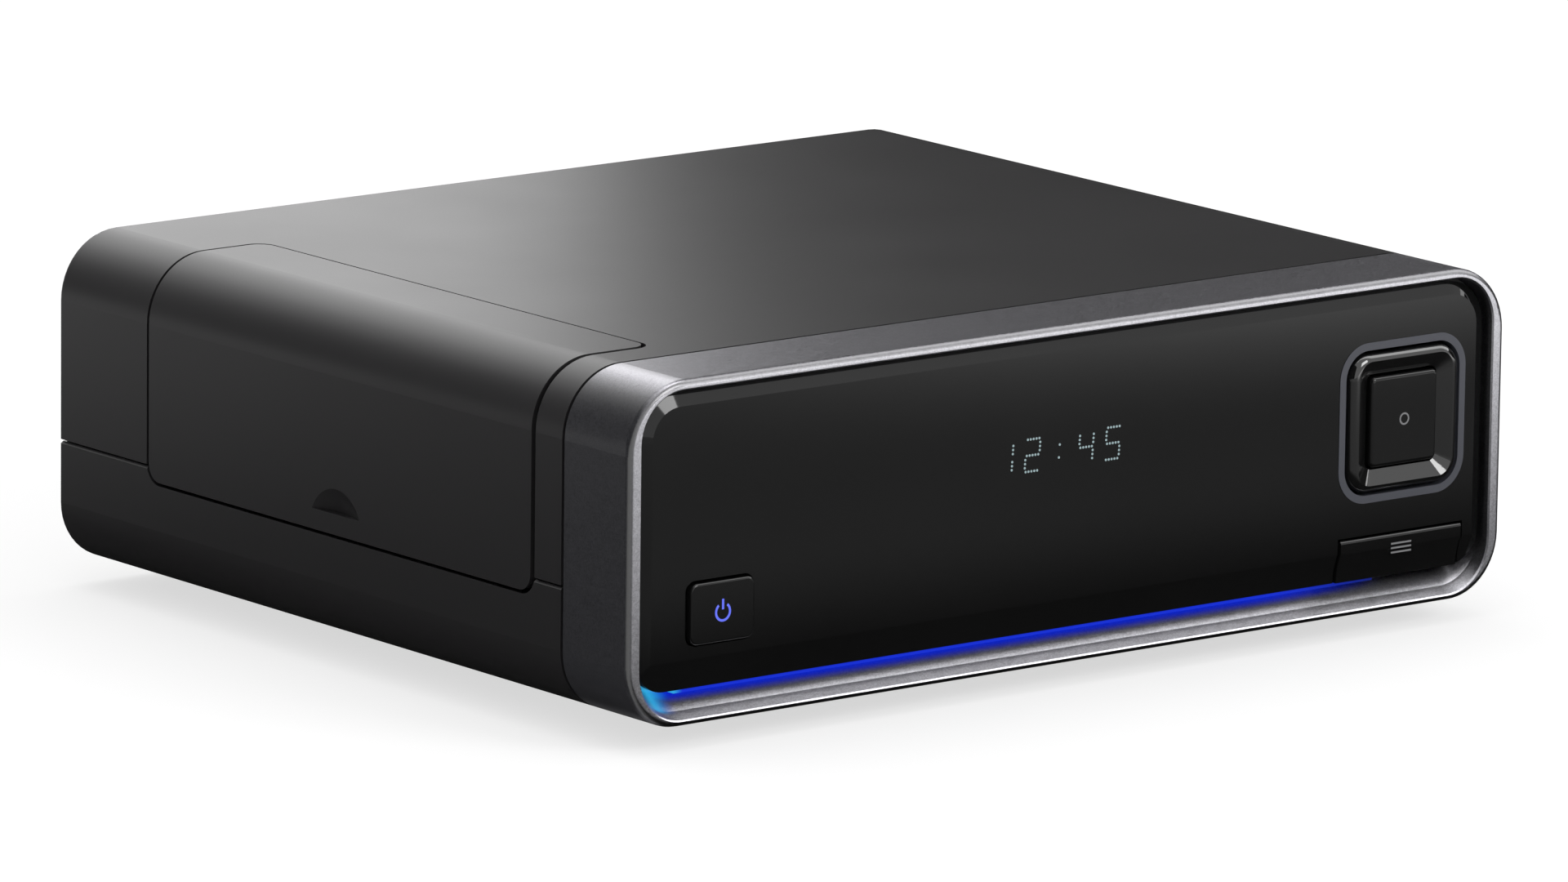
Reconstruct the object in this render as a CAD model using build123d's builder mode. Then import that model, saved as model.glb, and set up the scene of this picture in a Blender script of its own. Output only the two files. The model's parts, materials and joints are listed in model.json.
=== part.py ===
"""Network media player with a hard drive tray that slides out of its left side.

Millimetres. X runs to the right seen from the front, Y to the rear and Z up. The origin is
on the table, under the middle of the case.
"""

import os

from build123d import *

os.makedirs("parts", exist_ok=True)

# ---------------------------------------------------------------- driving dimensions
# Case
width = 183.0
depth = 156.0
body_height = 56.0
foot_height = 4.0
top_corner_radius = 11.2
bottom_corner_radius = 10.4
wall = 2.0
rear_edge_radius = 0.7
seam_height = 20.85  # top of the lower shell above its underside
seam_gap = 0.35
seam_chamfer = 0.4
lip_height = 1.8
lip_clearance = 0.1
vent_length = 22.0
vent_width = 3.0
vent_pitch_x = 30.0
vent_pitch_y = 9.0
vent_columns = 2
vent_rows = 5

# Front bezel
bezel_depth = 16.8
bezel_gap = 0.65
bezel_edge_radius = 1.1
spigot_length = 4.0
spigot_clearance = 0.1
spigot_wall = 1.4
rim_side = 2.6
rim_top = 1.6
rim_bottom = 1.05
rim_bevel = 0.25
opening_top_radius = 8.2
opening_bottom_radius = 8.6
scoop_rise_front = 1.05
scoop_front_run = 2.25
scoop_run = 5.5
flange_thickness = 1.5
flange_width = 2.0
flange_lip = 0.3

# Gloss front panel and the carrier behind it
panel_recess = 1.0
panel_thickness = 2.5
panel_gap = 0.8
panel_bevel_width = 2.0
panel_bevel_depth = 0.9
panel_bottom = 5.5  # above the underside of the case
panel_bottom_corner = 5.5
panel_roll_radius = 11.0
panel_roll_height = 5.0
carrier_thickness = 2.0
carrier_gap = 0.3
carrier_key_room = 1.0
carrier_post_from_left = 31.5
carrier_post_from_right = 43.5
carrier_post_low = 26.0
carrier_post_high = 42.0

# Side door, measured on the outside of the case
door_over_tray = 0.65
door_bottom = 18.56
door_inboard = 23.3
door_skin = 2.4
door_corner_radius = 3.0
door_gap_front = 1.1
door_gap_rear = 0.6
door_gap_bottom = 0.55
door_gap_top = 0.35
scoop_radius = 16.0
scoop_depth = 1.7
scoop_ledge = 22.0
scoop_drop = 3.0
door_boss_radius = 3.0
door_boss_spread = 80.0
door_boss_low = 5.0  # above the tray's floor
door_boss_high = 4.0  # below the top of the tray's face
door_screw_radius = 0.9
door_screw_head = 2.0
door_screw_head_height = 0.9
door_screw_grip = 0.8
door_screw_clearance = 0.3

# Hard drive, the usual 3.5 inch size. Its width is what the tray leaves between its sides:
# 101.6 mm in a case of this depth.
drive_length = 147.0
drive_height = 26.1
drive_lid_thickness = 0.8
drive_emboss = 0.3
drive_corner_radius = 3.0
drive_board_recess = 3.0
drive_board_thickness = 1.2
drive_hole_inset = 3.175
drive_hole_pitch = 44.45
drive_hole_start = 41.28
drive_plug_width = 38.0
drive_plug_offset = 22.0
drive_plug_height = 7.0
drive_plug_depth = 8.0
drive_plug_wall = 1.5
drive_plug_floor = 2.0
drive_hole_depth = 4.0
drive_board_length = 105.0
drive_board_width = 75.6
drive_board_from_end = 9.5
drive_board_room = 1.0
drive_lid_margin = 2.5
drive_lid_corner = 6.0
drive_dish_margin = 4.3
drive_dish_hub = 13.0
drive_dish_from_face = 52.0

# Tray, rails and deck
tray_thickness = 1.2
tray_side_clearance = 0.1
tray_side_thickness = 0.8
tray_side_height = 12.0
tray_face_height = 24.0
tray_face_gap = 0.8
tray_floor_gap = 0.3
tray_window_length = 30.0
tray_window_width = 70.0
tray_window_pitch = 44.0
tray_window_corner = 4.0
tray_slot_length = 60.0
tray_slot_height = 8.0
drive_screw_head_height = 1.2
drive_face_gap = 2.0
slide_gap = 0.4
rail_wall = 1.6
rail_ledge = 1.1
rail_ledge_thickness = 1.8
rail_lip_thickness = 1.2
rail_length = 144.0
deck_height = 16.6
deck_thickness = 1.0
deck_overhang = 1.0
deck_front_gap = 2.35
deck_rear_gap = 1.05
deck_window_length = 34.0
deck_window_width = 60.0
deck_window_pitch = 46.0
deck_post_inset_x = 14.0
deck_post_inset_y = 8.0

# Boards
board_height = 5.0
board_thickness = 1.6
board_side_gap = 4.6
board_front_gap = 1.0
board_rear_gap = 0.4
board_corner_radius = 2.0
board_boss_inset_x = 8.9
board_boss_inset_y = 5.0
board_boss_from_rear = 16.6
boss_radius = 3.0
post_radius = 4.5
post_clearance = 0.8
screw_radius = 1.5
screw_clearance = 0.1
screw_head_radius = 2.6
screw_head_height = 1.6
screw_bite = 2.0
screw_pocket = 2.0  # depth of the countersunk pocket under each base screw
base_screw_spare = 0.6
backplane_gap = 4.8
backplane_above_drive = 24.0
backplane_width = 81.6
socket_gap = 0.4
socket_blade = 3.6
chip_height = 1.4
heat_sink_size = 34.0
heat_sink_y = 8.0
heat_sink_base = 2.0
heat_sink_headroom = 2.0
fin_count = 9
fin_thickness = 1.2
capacitor_radius = 3.2
capacitor_height = 8.5
capacitor_pitch = 12.0
capacitor_count = 3
capacitor_inset = 10.9
capacitor_y = -1.6

# Rear panel and what stands in it
rear_recess = 6.0
rear_panel_thickness = 1.2
rear_panel_clearance = 0.05
stop_rib_thickness = 1.4
stop_rib_height = 1.0
cutout_gap = 0.25
fan_thickness = 10.0
fan_rim = 1.0
fan_hub_radius = 9.6
fan_shaft_radius = 1.0
fan_shaft_clearance = 0.05
fan_screw_inset = 4.0
fan_blades = 7
fan_from_right = 41.5
fan_gap = 0.3
fan_corner_radius = 3.0
fan_strut_thickness = 1.6
fan_strut_width = 1.8
fan_bearing_radius = 2.6
fan_bearing_length = 3.6
fan_hub_wall = 1.4
fan_hub_inset = 0.6
fan_hub_clearance = 0.5
fan_blade_chord = 7.6
fan_blade_thickness = 1.0
fan_blade_pitch = 52.0
fan_blade_clearance = 0.6
jack_radius = 4.15
jack_bore_radius = 1.6
jack_length = 5.6
jack_collar_radius = 4.9
jack_pitch_x = 14.0
jack_pitch_z = 14.0
jack_block_width = 42.0
jack_block_height = 27.0
jack_block_depth = 14.0
jacks_from_left = 30.0
rear_port_radius = 3.0
rear_port_length = 8.0
rear_port_side_z = 17.0
rear_port_low_inset = 3.0
rear_port_high_inset = 4.6
port_depth = 17.0
port_proud = 0.6
port_gap = 3.8
lan_width = 16.0
lan_height = 13.4
lan_mouth_width = 11.8
lan_mouth_height = 8.6
lan_mouth_depth = 12.0
usb_width = 14.4
usb_height = 15.6
usb_mouth_width = 12.5
usb_mouth_height = 5.1
usb_mouth_depth = 9.0
usb_mouth_pitch = 7.2
usb_tongue_width = 11.2
usb_tongue_height = 2.0
optical_size = 9.8
optical_mouth = 5.6
optical_mouth_corner = 0.8
optical_mouth_depth = 3.5
optical_lens_radius = 1.2
hdmi_from_fan = 6.0
hdmi_width = 15.0
hdmi_height = 5.8
hdmi_mouth_width = 14.0
hdmi_mouth_height = 4.4
hdmi_mouth_depth = 8.0
hdmi_tongue_width = 11.5
hdmi_tongue_height = 1.4
dc_from_fan = 8.0
dc_width = 9.4
dc_height = 11.0
dc_bore_radius = 3.2
dc_pin_radius = 1.05
dc_bore_depth = 9.0
grille_slots = 9
grille_pitch = 4.0
grille_bar = 1.6
grille_margin = 1.0

# Keys on the front, heights above the underside of the case
key_travel = 0.8
switch_size = 6.0
switch_depth = 3.8
stem_radius = 1.7
stem_clearance = 0.05
stem_grip = 0.5
switch_bore_spare = 0.3
power_from_left = 19.1
power_z = 17.75
power_width = 13.6
power_height = 10.7
power_corner = 1.8
power_proud = 0.9
key_gap = 0.375
key_flange = 0.8
key_flange_thickness = 1.0
key_flange_gap = 0.3
key_edge_radius = 0.35
option_from_right = 8.1
option_width = 26.2
option_top = 12.7
option_proud = 0.4
option_stem_drop = 3.4
option_edge_radius = 0.5
option_gap_left = 0.35
option_gap_right = 0.6
option_gap_top = 0.35
nav_from_right = 21.3
nav_z = 32.0
nav_trim_width = 27.3
nav_trim_height = 27.0
nav_trim_band = 1.3
nav_trim_corner = 6.0
nav_trim_proud = 0.1
nav_gap = 0.5
nav_ring_depth = 4.95
nav_crest_radius = 1.6
nav_slope_width = 2.5
nav_slope_depth = 1.3
nav_slope_corner = 1.5
ok_width = 14.3
ok_height = 15.2
ok_corner = 0.9
ok_gap = 0.45
ok_recess = 0.4
ok_edge_radius = 0.6
nav_pin_radius = 0.9
nav_pin_clearance = 0.05
gimbal_half = 6.4
gimbal_band = 2.4
gimbal_thickness = 1.8
gimbal_axis_depth = 7.3  # behind the front of the case
nav_lug_thickness = 1.4
nav_lug_width = 4.0
nav_lug_overlap = 0.4  # of the carrier's ears with its opening
nav_switch_size = 4.4
nav_switch_spread = 18.4
nav_switch_gap = 0.8
nav_plunger_radius = 1.2
nav_plunger_length = 0.8

# Display and light strip
display_x = -3.2
display_z = 34.8
display_width = 36.0
display_height = 11.0
guide_thickness = 0.6
guide_setback = 2.6  # behind the front of the case
guide_from_right = 25.7
guide_depth = 7.4
light_size = 1.8
light_inset = 0.2
light_setback = 0.4
guide_inset = 0.1
display_chamfer = 0.6
front_board_gap = 5.9
front_board_margin_x = 11.0
front_board_bottom = 6.6
front_board_top = 46.0

# Feet
foot_radius = 7.0
foot_inset_x = 26.0
foot_inset_y = 26.0
foot_edge_radius = 1.0

# ---------------------------------------------------------------- places worked out from them
front_y = -depth / 2
rear_y = depth / 2
left_x = -width / 2
right_x = width / 2
base_z = foot_height
top_z = foot_height + body_height
floor_z = base_z + wall
seam_z = base_z + seam_height

bezel_rear_y = front_y + bezel_depth
shell_front_y = bezel_rear_y + bezel_gap
shell_length = rear_y - shell_front_y
shell_mid_y = (rear_y + shell_front_y) / 2
spigot_rear_y = bezel_rear_y + spigot_length
flange_front_y = front_y + scoop_run
flange_rear_y = flange_front_y + flange_thickness
opening_left = left_x + rim_side
opening_top = top_z - rim_top
opening_bottom = base_z + rim_bottom

panel_front_y = front_y + panel_recess
panel_rear_y = panel_front_y + panel_thickness
panel_left = opening_left + panel_gap
panel_top = opening_top - panel_gap
panel_bottom_z = base_z + panel_bottom
guide_z = panel_bottom_z - guide_thickness
scoop_rear_z = guide_z - flange_lip
carrier_rear_y = panel_rear_y + carrier_thickness
front_board_y = carrier_rear_y + front_board_gap
front_board_rear_y = front_board_y + board_thickness
switch_face_y = front_board_y - switch_depth
stem_tip_y = switch_face_y + stem_grip

# The drive bay fills the room between the bezel's spigot and the rear connectors
panel_y = rear_y - rear_recess
panel_inner_y = panel_y - rear_panel_thickness
connector_y = panel_y + port_proud
deck_front_y = spigot_rear_y + deck_front_gap
deck_rear_y = connector_y - port_depth - deck_rear_gap
bay_y = (deck_front_y + deck_rear_y) / 2
deck_half = (deck_rear_y - deck_front_y) / 2
rail_outer = deck_half - deck_overhang
rail_inner = rail_outer - rail_wall
tray_half = rail_inner - slide_gap
tray_inner = tray_half - tray_side_thickness
drive_half = tray_inner - tray_side_clearance
drive_width = 2 * drive_half
drive_hole_spread = drive_width - 2 * drive_hole_inset
drive_dish_radius = drive_half - drive_lid_margin - drive_dish_margin

door_front_y = bay_y - tray_half - door_over_tray
door_rear_y = bay_y + tray_half + door_over_tray
door_length = door_rear_y - door_front_y
door_bottom_z = base_z + door_bottom
door_inner_x = left_x + door_inboard

deck_z = base_z + deck_height
deck_top_z = deck_z + deck_thickness
ledge_top_z = deck_top_z + rail_ledge_thickness
tray_z = ledge_top_z + tray_floor_gap
tray_floor_top = tray_z + tray_thickness
tray_face_x = left_x + door_skin + tray_face_gap
drive_x = tray_face_x + tray_thickness + drive_face_gap
drive_end_x = drive_x + drive_length
drive_z = tray_floor_top
lip_inner = drive_half + slide_gap
rail_lip_z = tray_z + tray_side_height + slide_gap
rail_x = tray_face_x + tray_thickness + slide_gap
deck_right_x = drive_end_x + backplane_gap / 2

board_z = floor_z + board_height - wall
board_top_z = board_z + board_thickness
# The fan fills the height between the video output and the cover
fan_low_z = board_top_z + hdmi_height + fan_gap
fan_high_z = top_z - wall - stop_rib_height - fan_gap
fan_size = fan_high_z - fan_low_z
fan_bore_radius = fan_size / 2 - fan_rim
fan_screw_spread = fan_size - 2 * fan_screw_inset
fan_x = right_x - fan_from_right
fan_z = (fan_low_z + fan_high_z) / 2
jacks_x = left_x + jacks_from_left
nav_z_abs = base_z + nav_z
power_x = left_x + power_from_left
nav_x = right_x - nav_from_right
option_right = right_x - option_from_right
option_left = option_right - option_width
gimbal_y = front_y + gimbal_axis_depth
lip_thickness = wall / 2 - lip_clearance
touch = 0.01  # how near an edge lies to the plane that it is picked by


# ---------------------------------------------------------------- shared outlines
def front_plane(y):
    """Upright plane that faces forward at the given y; sketches on it use x and z."""
    return Plane.XZ.offset(-y)


def case_outline(inset=0.0):
    """Rounded outline of the case seen from the front, drawn a distance inside it."""
    with BuildSketch() as outline:
        with Locations((0, base_z + body_height / 2)):
            Rectangle(width - 2 * inset, body_height - 2 * inset)
        fillet(outline.vertices().group_by(Axis.Y)[-1], top_corner_radius - inset)
        fillet(outline.vertices().group_by(Axis.Y)[0], bottom_corner_radius - inset)
    return outline.sketch


def front_outline(inset, bottom, bottom_radius):
    """Outline of the bezel's opening, drawn a distance inside it, down to a given height."""
    top = opening_top - inset
    with BuildSketch() as outline:
        with Locations((0, (top + bottom) / 2)):
            Rectangle(-2 * (opening_left + inset), top - bottom)
        fillet(outline.vertices().group_by(Axis.Y)[-1], opening_top_radius - inset)
        fillet(outline.vertices().group_by(Axis.Y)[0], bottom_radius)
    return outline.sketch


def rounded_rectangle(x, z, across, up, radius):
    """Rounded rectangle about a point of an upright plane."""
    with BuildSketch() as outline:
        with Locations((x, z)):
            RectangleRounded(across, up, radius)
    return outline.sketch


def door_space(front=0.0, rear=0.0, below=0.0, inboard=0.0):
    """Space of the L-shaped side door, let out by a gap on each side."""
    reach = 1.0
    near_y = door_front_y - front
    far_y = door_rear_y + rear
    low_z = door_bottom_z - below
    inner_x = door_inner_x + inboard
    inside = top_corner_radius + wall
    with BuildPart() as space:
        with BuildSketch(Plane.YZ.offset(left_x - reach)) as side:
            with Locations(((near_y + far_y) / 2, (low_z + top_z + reach) / 2)):
                Rectangle(far_y - near_y, top_z + reach - low_z)
            fillet(side.vertices().group_by(Axis.Y)[0], door_corner_radius + below)
        extrude(amount=reach + inside)
        with BuildSketch(Plane.XY.offset(top_z - inside)) as top:
            with Locations(((left_x - reach + inner_x) / 2, (near_y + far_y) / 2)):
                Rectangle(inner_x - left_x + reach, far_y - near_y)
            fillet(top.vertices().group_by(Axis.X)[-1], door_corner_radius + inboard)
        extrude(amount=inside + reach)
    return space.part


def shell_tube():
    """The two body shells in one piece: a rounded tube with a groove for the rear panel."""
    with BuildPart() as tube:
        with BuildSketch(front_plane(rear_y)):
            add(case_outline())
        extrude(amount=shell_length)
        fillet(tube.faces().sort_by(Axis.Y)[-1].edges(), rear_edge_radius)
        with BuildSketch(front_plane(rear_y)):
            add(case_outline(wall))
        extrude(amount=shell_length, mode=Mode.SUBTRACT)
        for y in (panel_inner_y, panel_y + stop_rib_thickness):
            with BuildSketch(front_plane(y)):
                add(case_outline(wall))
                add(case_outline(wall + stop_rib_height), mode=Mode.SUBTRACT)
            extrude(amount=stop_rib_thickness)
        # Screw ports behind the rear panel's four screws
        with BuildSketch(front_plane(panel_inner_y)):
            with Locations(*rear_ports):
                Circle(rear_port_radius)
        extrude(amount=rear_port_length)
        with BuildSketch(front_plane(panel_y)):
            with Locations(*rear_ports):
                Circle(screw_radius)
        extrude(amount=rear_port_length, mode=Mode.SUBTRACT)
        with BuildSketch(front_plane(panel_y + stop_rib_thickness)):
            with Locations(*rear_ports):
                Circle(screw_head_radius + 2 * screw_clearance)
        extrude(amount=stop_rib_thickness, mode=Mode.SUBTRACT)
    return tube.part


def screw(seat_point, direction, length, head_radius, head_height, radius):
    """Pan-head screw whose head sits on a point and whose shank runs along a direction."""
    seat = Plane(origin=seat_point, z_dir=direction)
    with BuildPart() as one:
        with BuildSketch(seat):
            Circle(head_radius)
        extrude(amount=-head_height)
        head_top = one.faces().sort_by(Axis(seat_point, direction))[0]
        fillet(head_top.edges(), head_height / 3)
        with BuildSketch(seat):
            Circle(radius)
        extrude(amount=length)
    return one.part


def write(piece, name):
    """Names a finished piece and writes its file."""
    piece.part.label = name
    export_step(piece.part, f"parts/{name}.step")


def corner_points(x_low, x_high, y_low, y_high):
    """The four corners of a rectangle."""
    return [(x, y) for x in (x_low, x_high) for y in (y_low, y_high)]


# Places that several pieces share
deck_posts = corner_points(
    rail_x + deck_post_inset_x,
    deck_right_x - deck_post_inset_x,
    bay_y - rail_outer + deck_post_inset_y,
    bay_y + rail_outer - deck_post_inset_y,
)
board_left = left_x + board_side_gap
board_right = right_x - board_side_gap
board_front_y = spigot_rear_y + board_front_gap
board_rear_y = panel_inner_y - stop_rib_thickness - board_rear_gap
board_bosses = corner_points(
    board_left + board_boss_inset_x,
    board_right - board_boss_inset_x,
    board_front_y + board_boss_inset_y,
    board_rear_y - board_boss_from_rear,
)
rear_ports = [
    (side * (right_x - wall - rear_port_low_inset), base_z + rear_port_side_z) for side in (-1, 1)
] + [
    (side * (right_x - wall - rear_port_high_inset), top_z - wall - rear_port_high_inset)
    for side in (-1, 1)
]
foot_points = corner_points(
    left_x + foot_inset_x, right_x - foot_inset_x, front_y + foot_inset_y, rear_y - foot_inset_y
)
drive_holes = corner_points(
    drive_end_x - drive_hole_start - drive_hole_pitch,
    drive_end_x - drive_hole_start,
    bay_y - drive_hole_spread / 2,
    bay_y + drive_hole_spread / 2,
)

# ---------------------------------------------------------------- lower shell
with BuildPart() as lower_shell:
    add(shell_tube())
    split(bisect_by=Plane.XY.offset(seam_z), keep=Keep.BOTTOM)
    top_edges = lower_shell.edges().filter_by(Axis.Y).filter_by_position(
        Axis.Z, seam_z - touch, seam_z + touch
    )
    chamfer(top_edges.group_by(Axis.X)[0] + top_edges.group_by(Axis.X)[-1], seam_chamfer)
    # Inner lips that register the upper cover
    with BuildSketch(Plane.XY.offset(seam_z - wall)):
        for side in (-1, 1):
            with Locations((side * (right_x - wall + lip_thickness / 2), shell_mid_y)):
                Rectangle(lip_thickness, shell_length - 2 * rear_edge_radius)
    extrude(amount=wall + lip_height)
    # Posts for the deck and bosses for the main board
    with BuildSketch(Plane.XY.offset(floor_z)):
        with Locations(*deck_posts):
            Circle(post_radius)
    extrude(amount=deck_z - floor_z)
    with BuildSketch(Plane.XY.offset(floor_z)):
        with Locations(*board_bosses):
            Circle(boss_radius)
    extrude(amount=board_z - floor_z)
    with BuildSketch(Plane.XY.offset(board_z)):
        with Locations(*board_bosses):
            Circle(screw_radius)
    extrude(amount=floor_z - board_z, mode=Mode.SUBTRACT)
    with BuildSketch(Plane.XY.offset(base_z)):
        with Locations(*deck_posts):
            Circle(screw_radius + screw_clearance)
    extrude(amount=deck_z - base_z, mode=Mode.SUBTRACT)
    with BuildSketch(Plane.XY.offset(base_z)):
        with Locations(*deck_posts):
            Circle(screw_head_radius + 2 * screw_clearance)
    extrude(amount=screw_pocket, mode=Mode.SUBTRACT)
    # Air slots under the drive
    with BuildSketch(Plane.XY.offset(base_z)):
        with GridLocations(vent_pitch_x, vent_pitch_y, vent_columns, vent_rows):
            SlotOverall(vent_length, vent_width)
    extrude(amount=wall, mode=Mode.SUBTRACT)
    add(
        door_space(door_gap_front, door_gap_rear, door_gap_bottom, door_gap_top),
        mode=Mode.SUBTRACT,
    )
write(lower_shell, "lower_shell")

# ---------------------------------------------------------------- upper cover
with BuildPart() as upper_cover:
    add(shell_tube())
    split(bisect_by=Plane.XY.offset(seam_z + seam_gap), keep=Keep.TOP)
    with BuildSketch(Plane.XY.offset(seam_z)):
        for side in (-1, 1):
            with Locations((side * (right_x - wall * 3 / 4), shell_mid_y)):
                Rectangle(wall / 2, 2 * shell_length)
    extrude(amount=lip_height, mode=Mode.SUBTRACT)
    add(
        door_space(door_gap_front, door_gap_rear, door_gap_bottom, door_gap_top),
        mode=Mode.SUBTRACT,
    )
write(upper_cover, "upper_cover")

# ---------------------------------------------------------------- front bezel
spigot_inset = wall + spigot_clearance
cavity_inset = spigot_inset + spigot_wall
scoop_sections = (
    (flange_front_y, 0.0, scoop_rear_z),
    (front_y + scoop_front_run, 0.0, opening_bottom + scoop_rise_front),
    (front_y + rim_bevel, 0.0, opening_bottom),
    (front_y, -rim_bevel, opening_bottom - rim_bevel),
)
with BuildPart() as front_bezel:
    with BuildSketch(front_plane(bezel_rear_y)):
        add(case_outline())
    extrude(amount=bezel_depth)
    fillet(front_bezel.faces().sort_by(Axis.Y)[0].edges(), bezel_edge_radius)
    with BuildSketch(front_plane(spigot_rear_y)):
        add(case_outline(spigot_inset))
    extrude(amount=spigot_length)
    with BuildSketch(front_plane(spigot_rear_y)):
        add(case_outline(cavity_inset))
    extrude(amount=spigot_rear_y - flange_rear_y, mode=Mode.SUBTRACT)
    with BuildSketch(front_plane(flange_rear_y)):
        add(front_outline(flange_width, guide_z, opening_bottom_radius - flange_width))
    extrude(amount=flange_thickness, mode=Mode.SUBTRACT)
    for y, inset, bottom in scoop_sections:
        with BuildSketch(front_plane(y)):
            add(front_outline(inset, bottom, opening_bottom_radius - inset))
    loft(ruled=True, mode=Mode.SUBTRACT)
write(front_bezel, "front_bezel")

# ---------------------------------------------------------------- gloss front panel
power_z_abs = base_z + power_z
option_top_z = base_z + option_top
roll_top_z = panel_bottom_z + panel_roll_height
roll_depth = panel_roll_radius - (panel_roll_radius**2 - panel_roll_height**2) ** 0.5


def panel_profile(front, back, high, low):
    """Upright section of the panel: flat, then rolled back towards its lower edge."""
    with BuildSketch() as profile:
        with BuildLine():
            Polyline(
                (front, roll_top_z), (front, high), (back, high), (back, low), (front + roll_depth, low)
            )
            RadiusArc((front, roll_top_z), (front + roll_depth, low), panel_roll_radius)
        make_face()
    return profile.sketch


with BuildPart() as panel_blank:
    with BuildSketch(front_plane(panel_rear_y)):
        add(front_outline(panel_gap, panel_bottom_z - panel_bottom, opening_bottom_radius))
    extrude(amount=panel_thickness - panel_bevel_depth)
    for y, inset in (
        (panel_front_y + panel_bevel_depth, panel_gap),
        (panel_front_y, panel_gap + panel_bevel_width),
    ):
        with BuildSketch(front_plane(y)):
            add(front_outline(inset, panel_bottom_z - panel_bottom, opening_bottom_radius))
    loft()

with BuildPart() as front_panel:
    with BuildSketch(Plane.YZ.offset(panel_left)):
        add(panel_profile(panel_front_y, panel_rear_y, panel_top, panel_bottom_z))
    extrude(amount=-2 * panel_left)
    with BuildSketch(front_plane(panel_rear_y)):
        add(front_outline(panel_gap, panel_bottom_z, panel_bottom_corner))
    extrude(amount=panel_thickness, mode=Mode.INTERSECT)
    add(panel_blank.part, mode=Mode.INTERSECT)
    with BuildSketch(front_plane(panel_rear_y)):
        add(rounded_rectangle(power_x, power_z_abs, power_width, power_height, power_corner))
        add(rounded_rectangle(nav_x, nav_z_abs, nav_trim_width, nav_trim_height, nav_trim_corner))
    extrude(amount=panel_thickness, mode=Mode.SUBTRACT)
    with BuildSketch(front_plane(panel_rear_y)):
        notch_left = option_left - option_gap_left
        notch_right = option_right + option_gap_right
        notch_top = option_top_z + option_gap_top
        with Locations(((notch_left + notch_right) / 2, (base_z + notch_top) / 2)):
            Rectangle(notch_right - notch_left, notch_top - base_z)
    extrude(amount=panel_thickness, mode=Mode.SUBTRACT)
write(front_panel, "front_panel")

# ---------------------------------------------------------------- panel carrier
carrier_posts = corner_points(
    left_x + carrier_post_from_left, right_x - carrier_post_from_right,
    base_z + carrier_post_low, base_z + carrier_post_high,
)
nav_lug_x = nav_trim_width / 2 - nav_lug_overlap
with BuildPart() as panel_carrier:
    with BuildSketch(front_plane(carrier_rear_y)):
        add(front_outline(carrier_gap, panel_bottom_z, opening_bottom_radius - carrier_gap))
    extrude(amount=carrier_thickness)
    with BuildSketch(front_plane(carrier_rear_y)):
        grow = 2 * (key_flange + key_gap)
        add(rounded_rectangle(
            power_x, power_z_abs, power_width + grow, power_height + grow, power_corner
        ))
        add(rounded_rectangle(
            nav_x, nav_z_abs, nav_trim_width - nav_trim_band, nav_trim_height - nav_trim_band,
            nav_trim_corner - nav_trim_band,
        ))
        with Locations((display_x, base_z + display_z)):
            Rectangle(display_width + 2 * carrier_gap, display_height + 2 * carrier_gap)
        with Locations(((notch_left + notch_right) / 2, (base_z + notch_top) / 2)):
            Rectangle(
                notch_right - notch_left + 2 * carrier_key_room,
                notch_top - base_z + 2 * carrier_key_room,
            )
    extrude(amount=carrier_thickness, mode=Mode.SUBTRACT)
    # Posts for the front board
    with BuildSketch(front_plane(front_board_y)):
        with Locations(*carrier_posts):
            Circle(boss_radius)
    extrude(amount=front_board_gap)
    with BuildSketch(front_plane(front_board_y)):
        with Locations(*carrier_posts):
            Circle(screw_radius)
    extrude(amount=front_board_gap, mode=Mode.SUBTRACT)
    # Ears that carry the rocker frame of the direction key
    with BuildSketch(front_plane(gimbal_y + nav_lug_width / 2)):
        for side in (-1, 1):
            with Locations((nav_x + side * (nav_lug_x + nav_lug_thickness / 2), nav_z_abs)):
                Rectangle(nav_lug_thickness, nav_lug_width)
    extrude(amount=gimbal_y + nav_lug_width / 2 - carrier_rear_y)
    with BuildSketch(Plane(origin=(nav_x - nav_trim_width, gimbal_y, nav_z_abs), z_dir=(1, 0, 0))):
        Circle(nav_pin_radius + nav_pin_clearance)
    extrude(amount=2 * nav_trim_width, mode=Mode.SUBTRACT)
write(panel_carrier, "panel_carrier")

# ---------------------------------------------------------------- power button
with BuildPart() as power_button:
    with BuildSketch(front_plane(panel_rear_y)):
        add(rounded_rectangle(
            power_x, power_z_abs, power_width - 2 * key_gap, power_height - 2 * key_gap,
            power_corner - key_gap,
        ))
    extrude(amount=panel_thickness + power_proud)
    fillet(power_button.faces().sort_by(Axis.Y)[0].edges(), key_edge_radius)
    flange_y = panel_rear_y + key_flange_gap + key_flange_thickness
    with BuildSketch(front_plane(flange_y)):
        add(rounded_rectangle(
            power_x, power_z_abs, power_width + 2 * key_flange, power_height + 2 * key_flange,
            power_corner,
        ))
    extrude(amount=key_flange_thickness)
    with BuildSketch(front_plane(flange_y)):
        add(rounded_rectangle(
            power_x, power_z_abs, power_width - 2 * key_gap, power_height - 2 * key_gap,
            power_corner - key_gap,
        ))
    extrude(amount=flange_y - panel_rear_y)
    with BuildSketch(front_plane(stem_tip_y)):
        with Locations((power_x, power_z_abs)):
            Circle(stem_radius)
    extrude(amount=stem_tip_y - flange_y)
write(power_button, "power_button")

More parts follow.
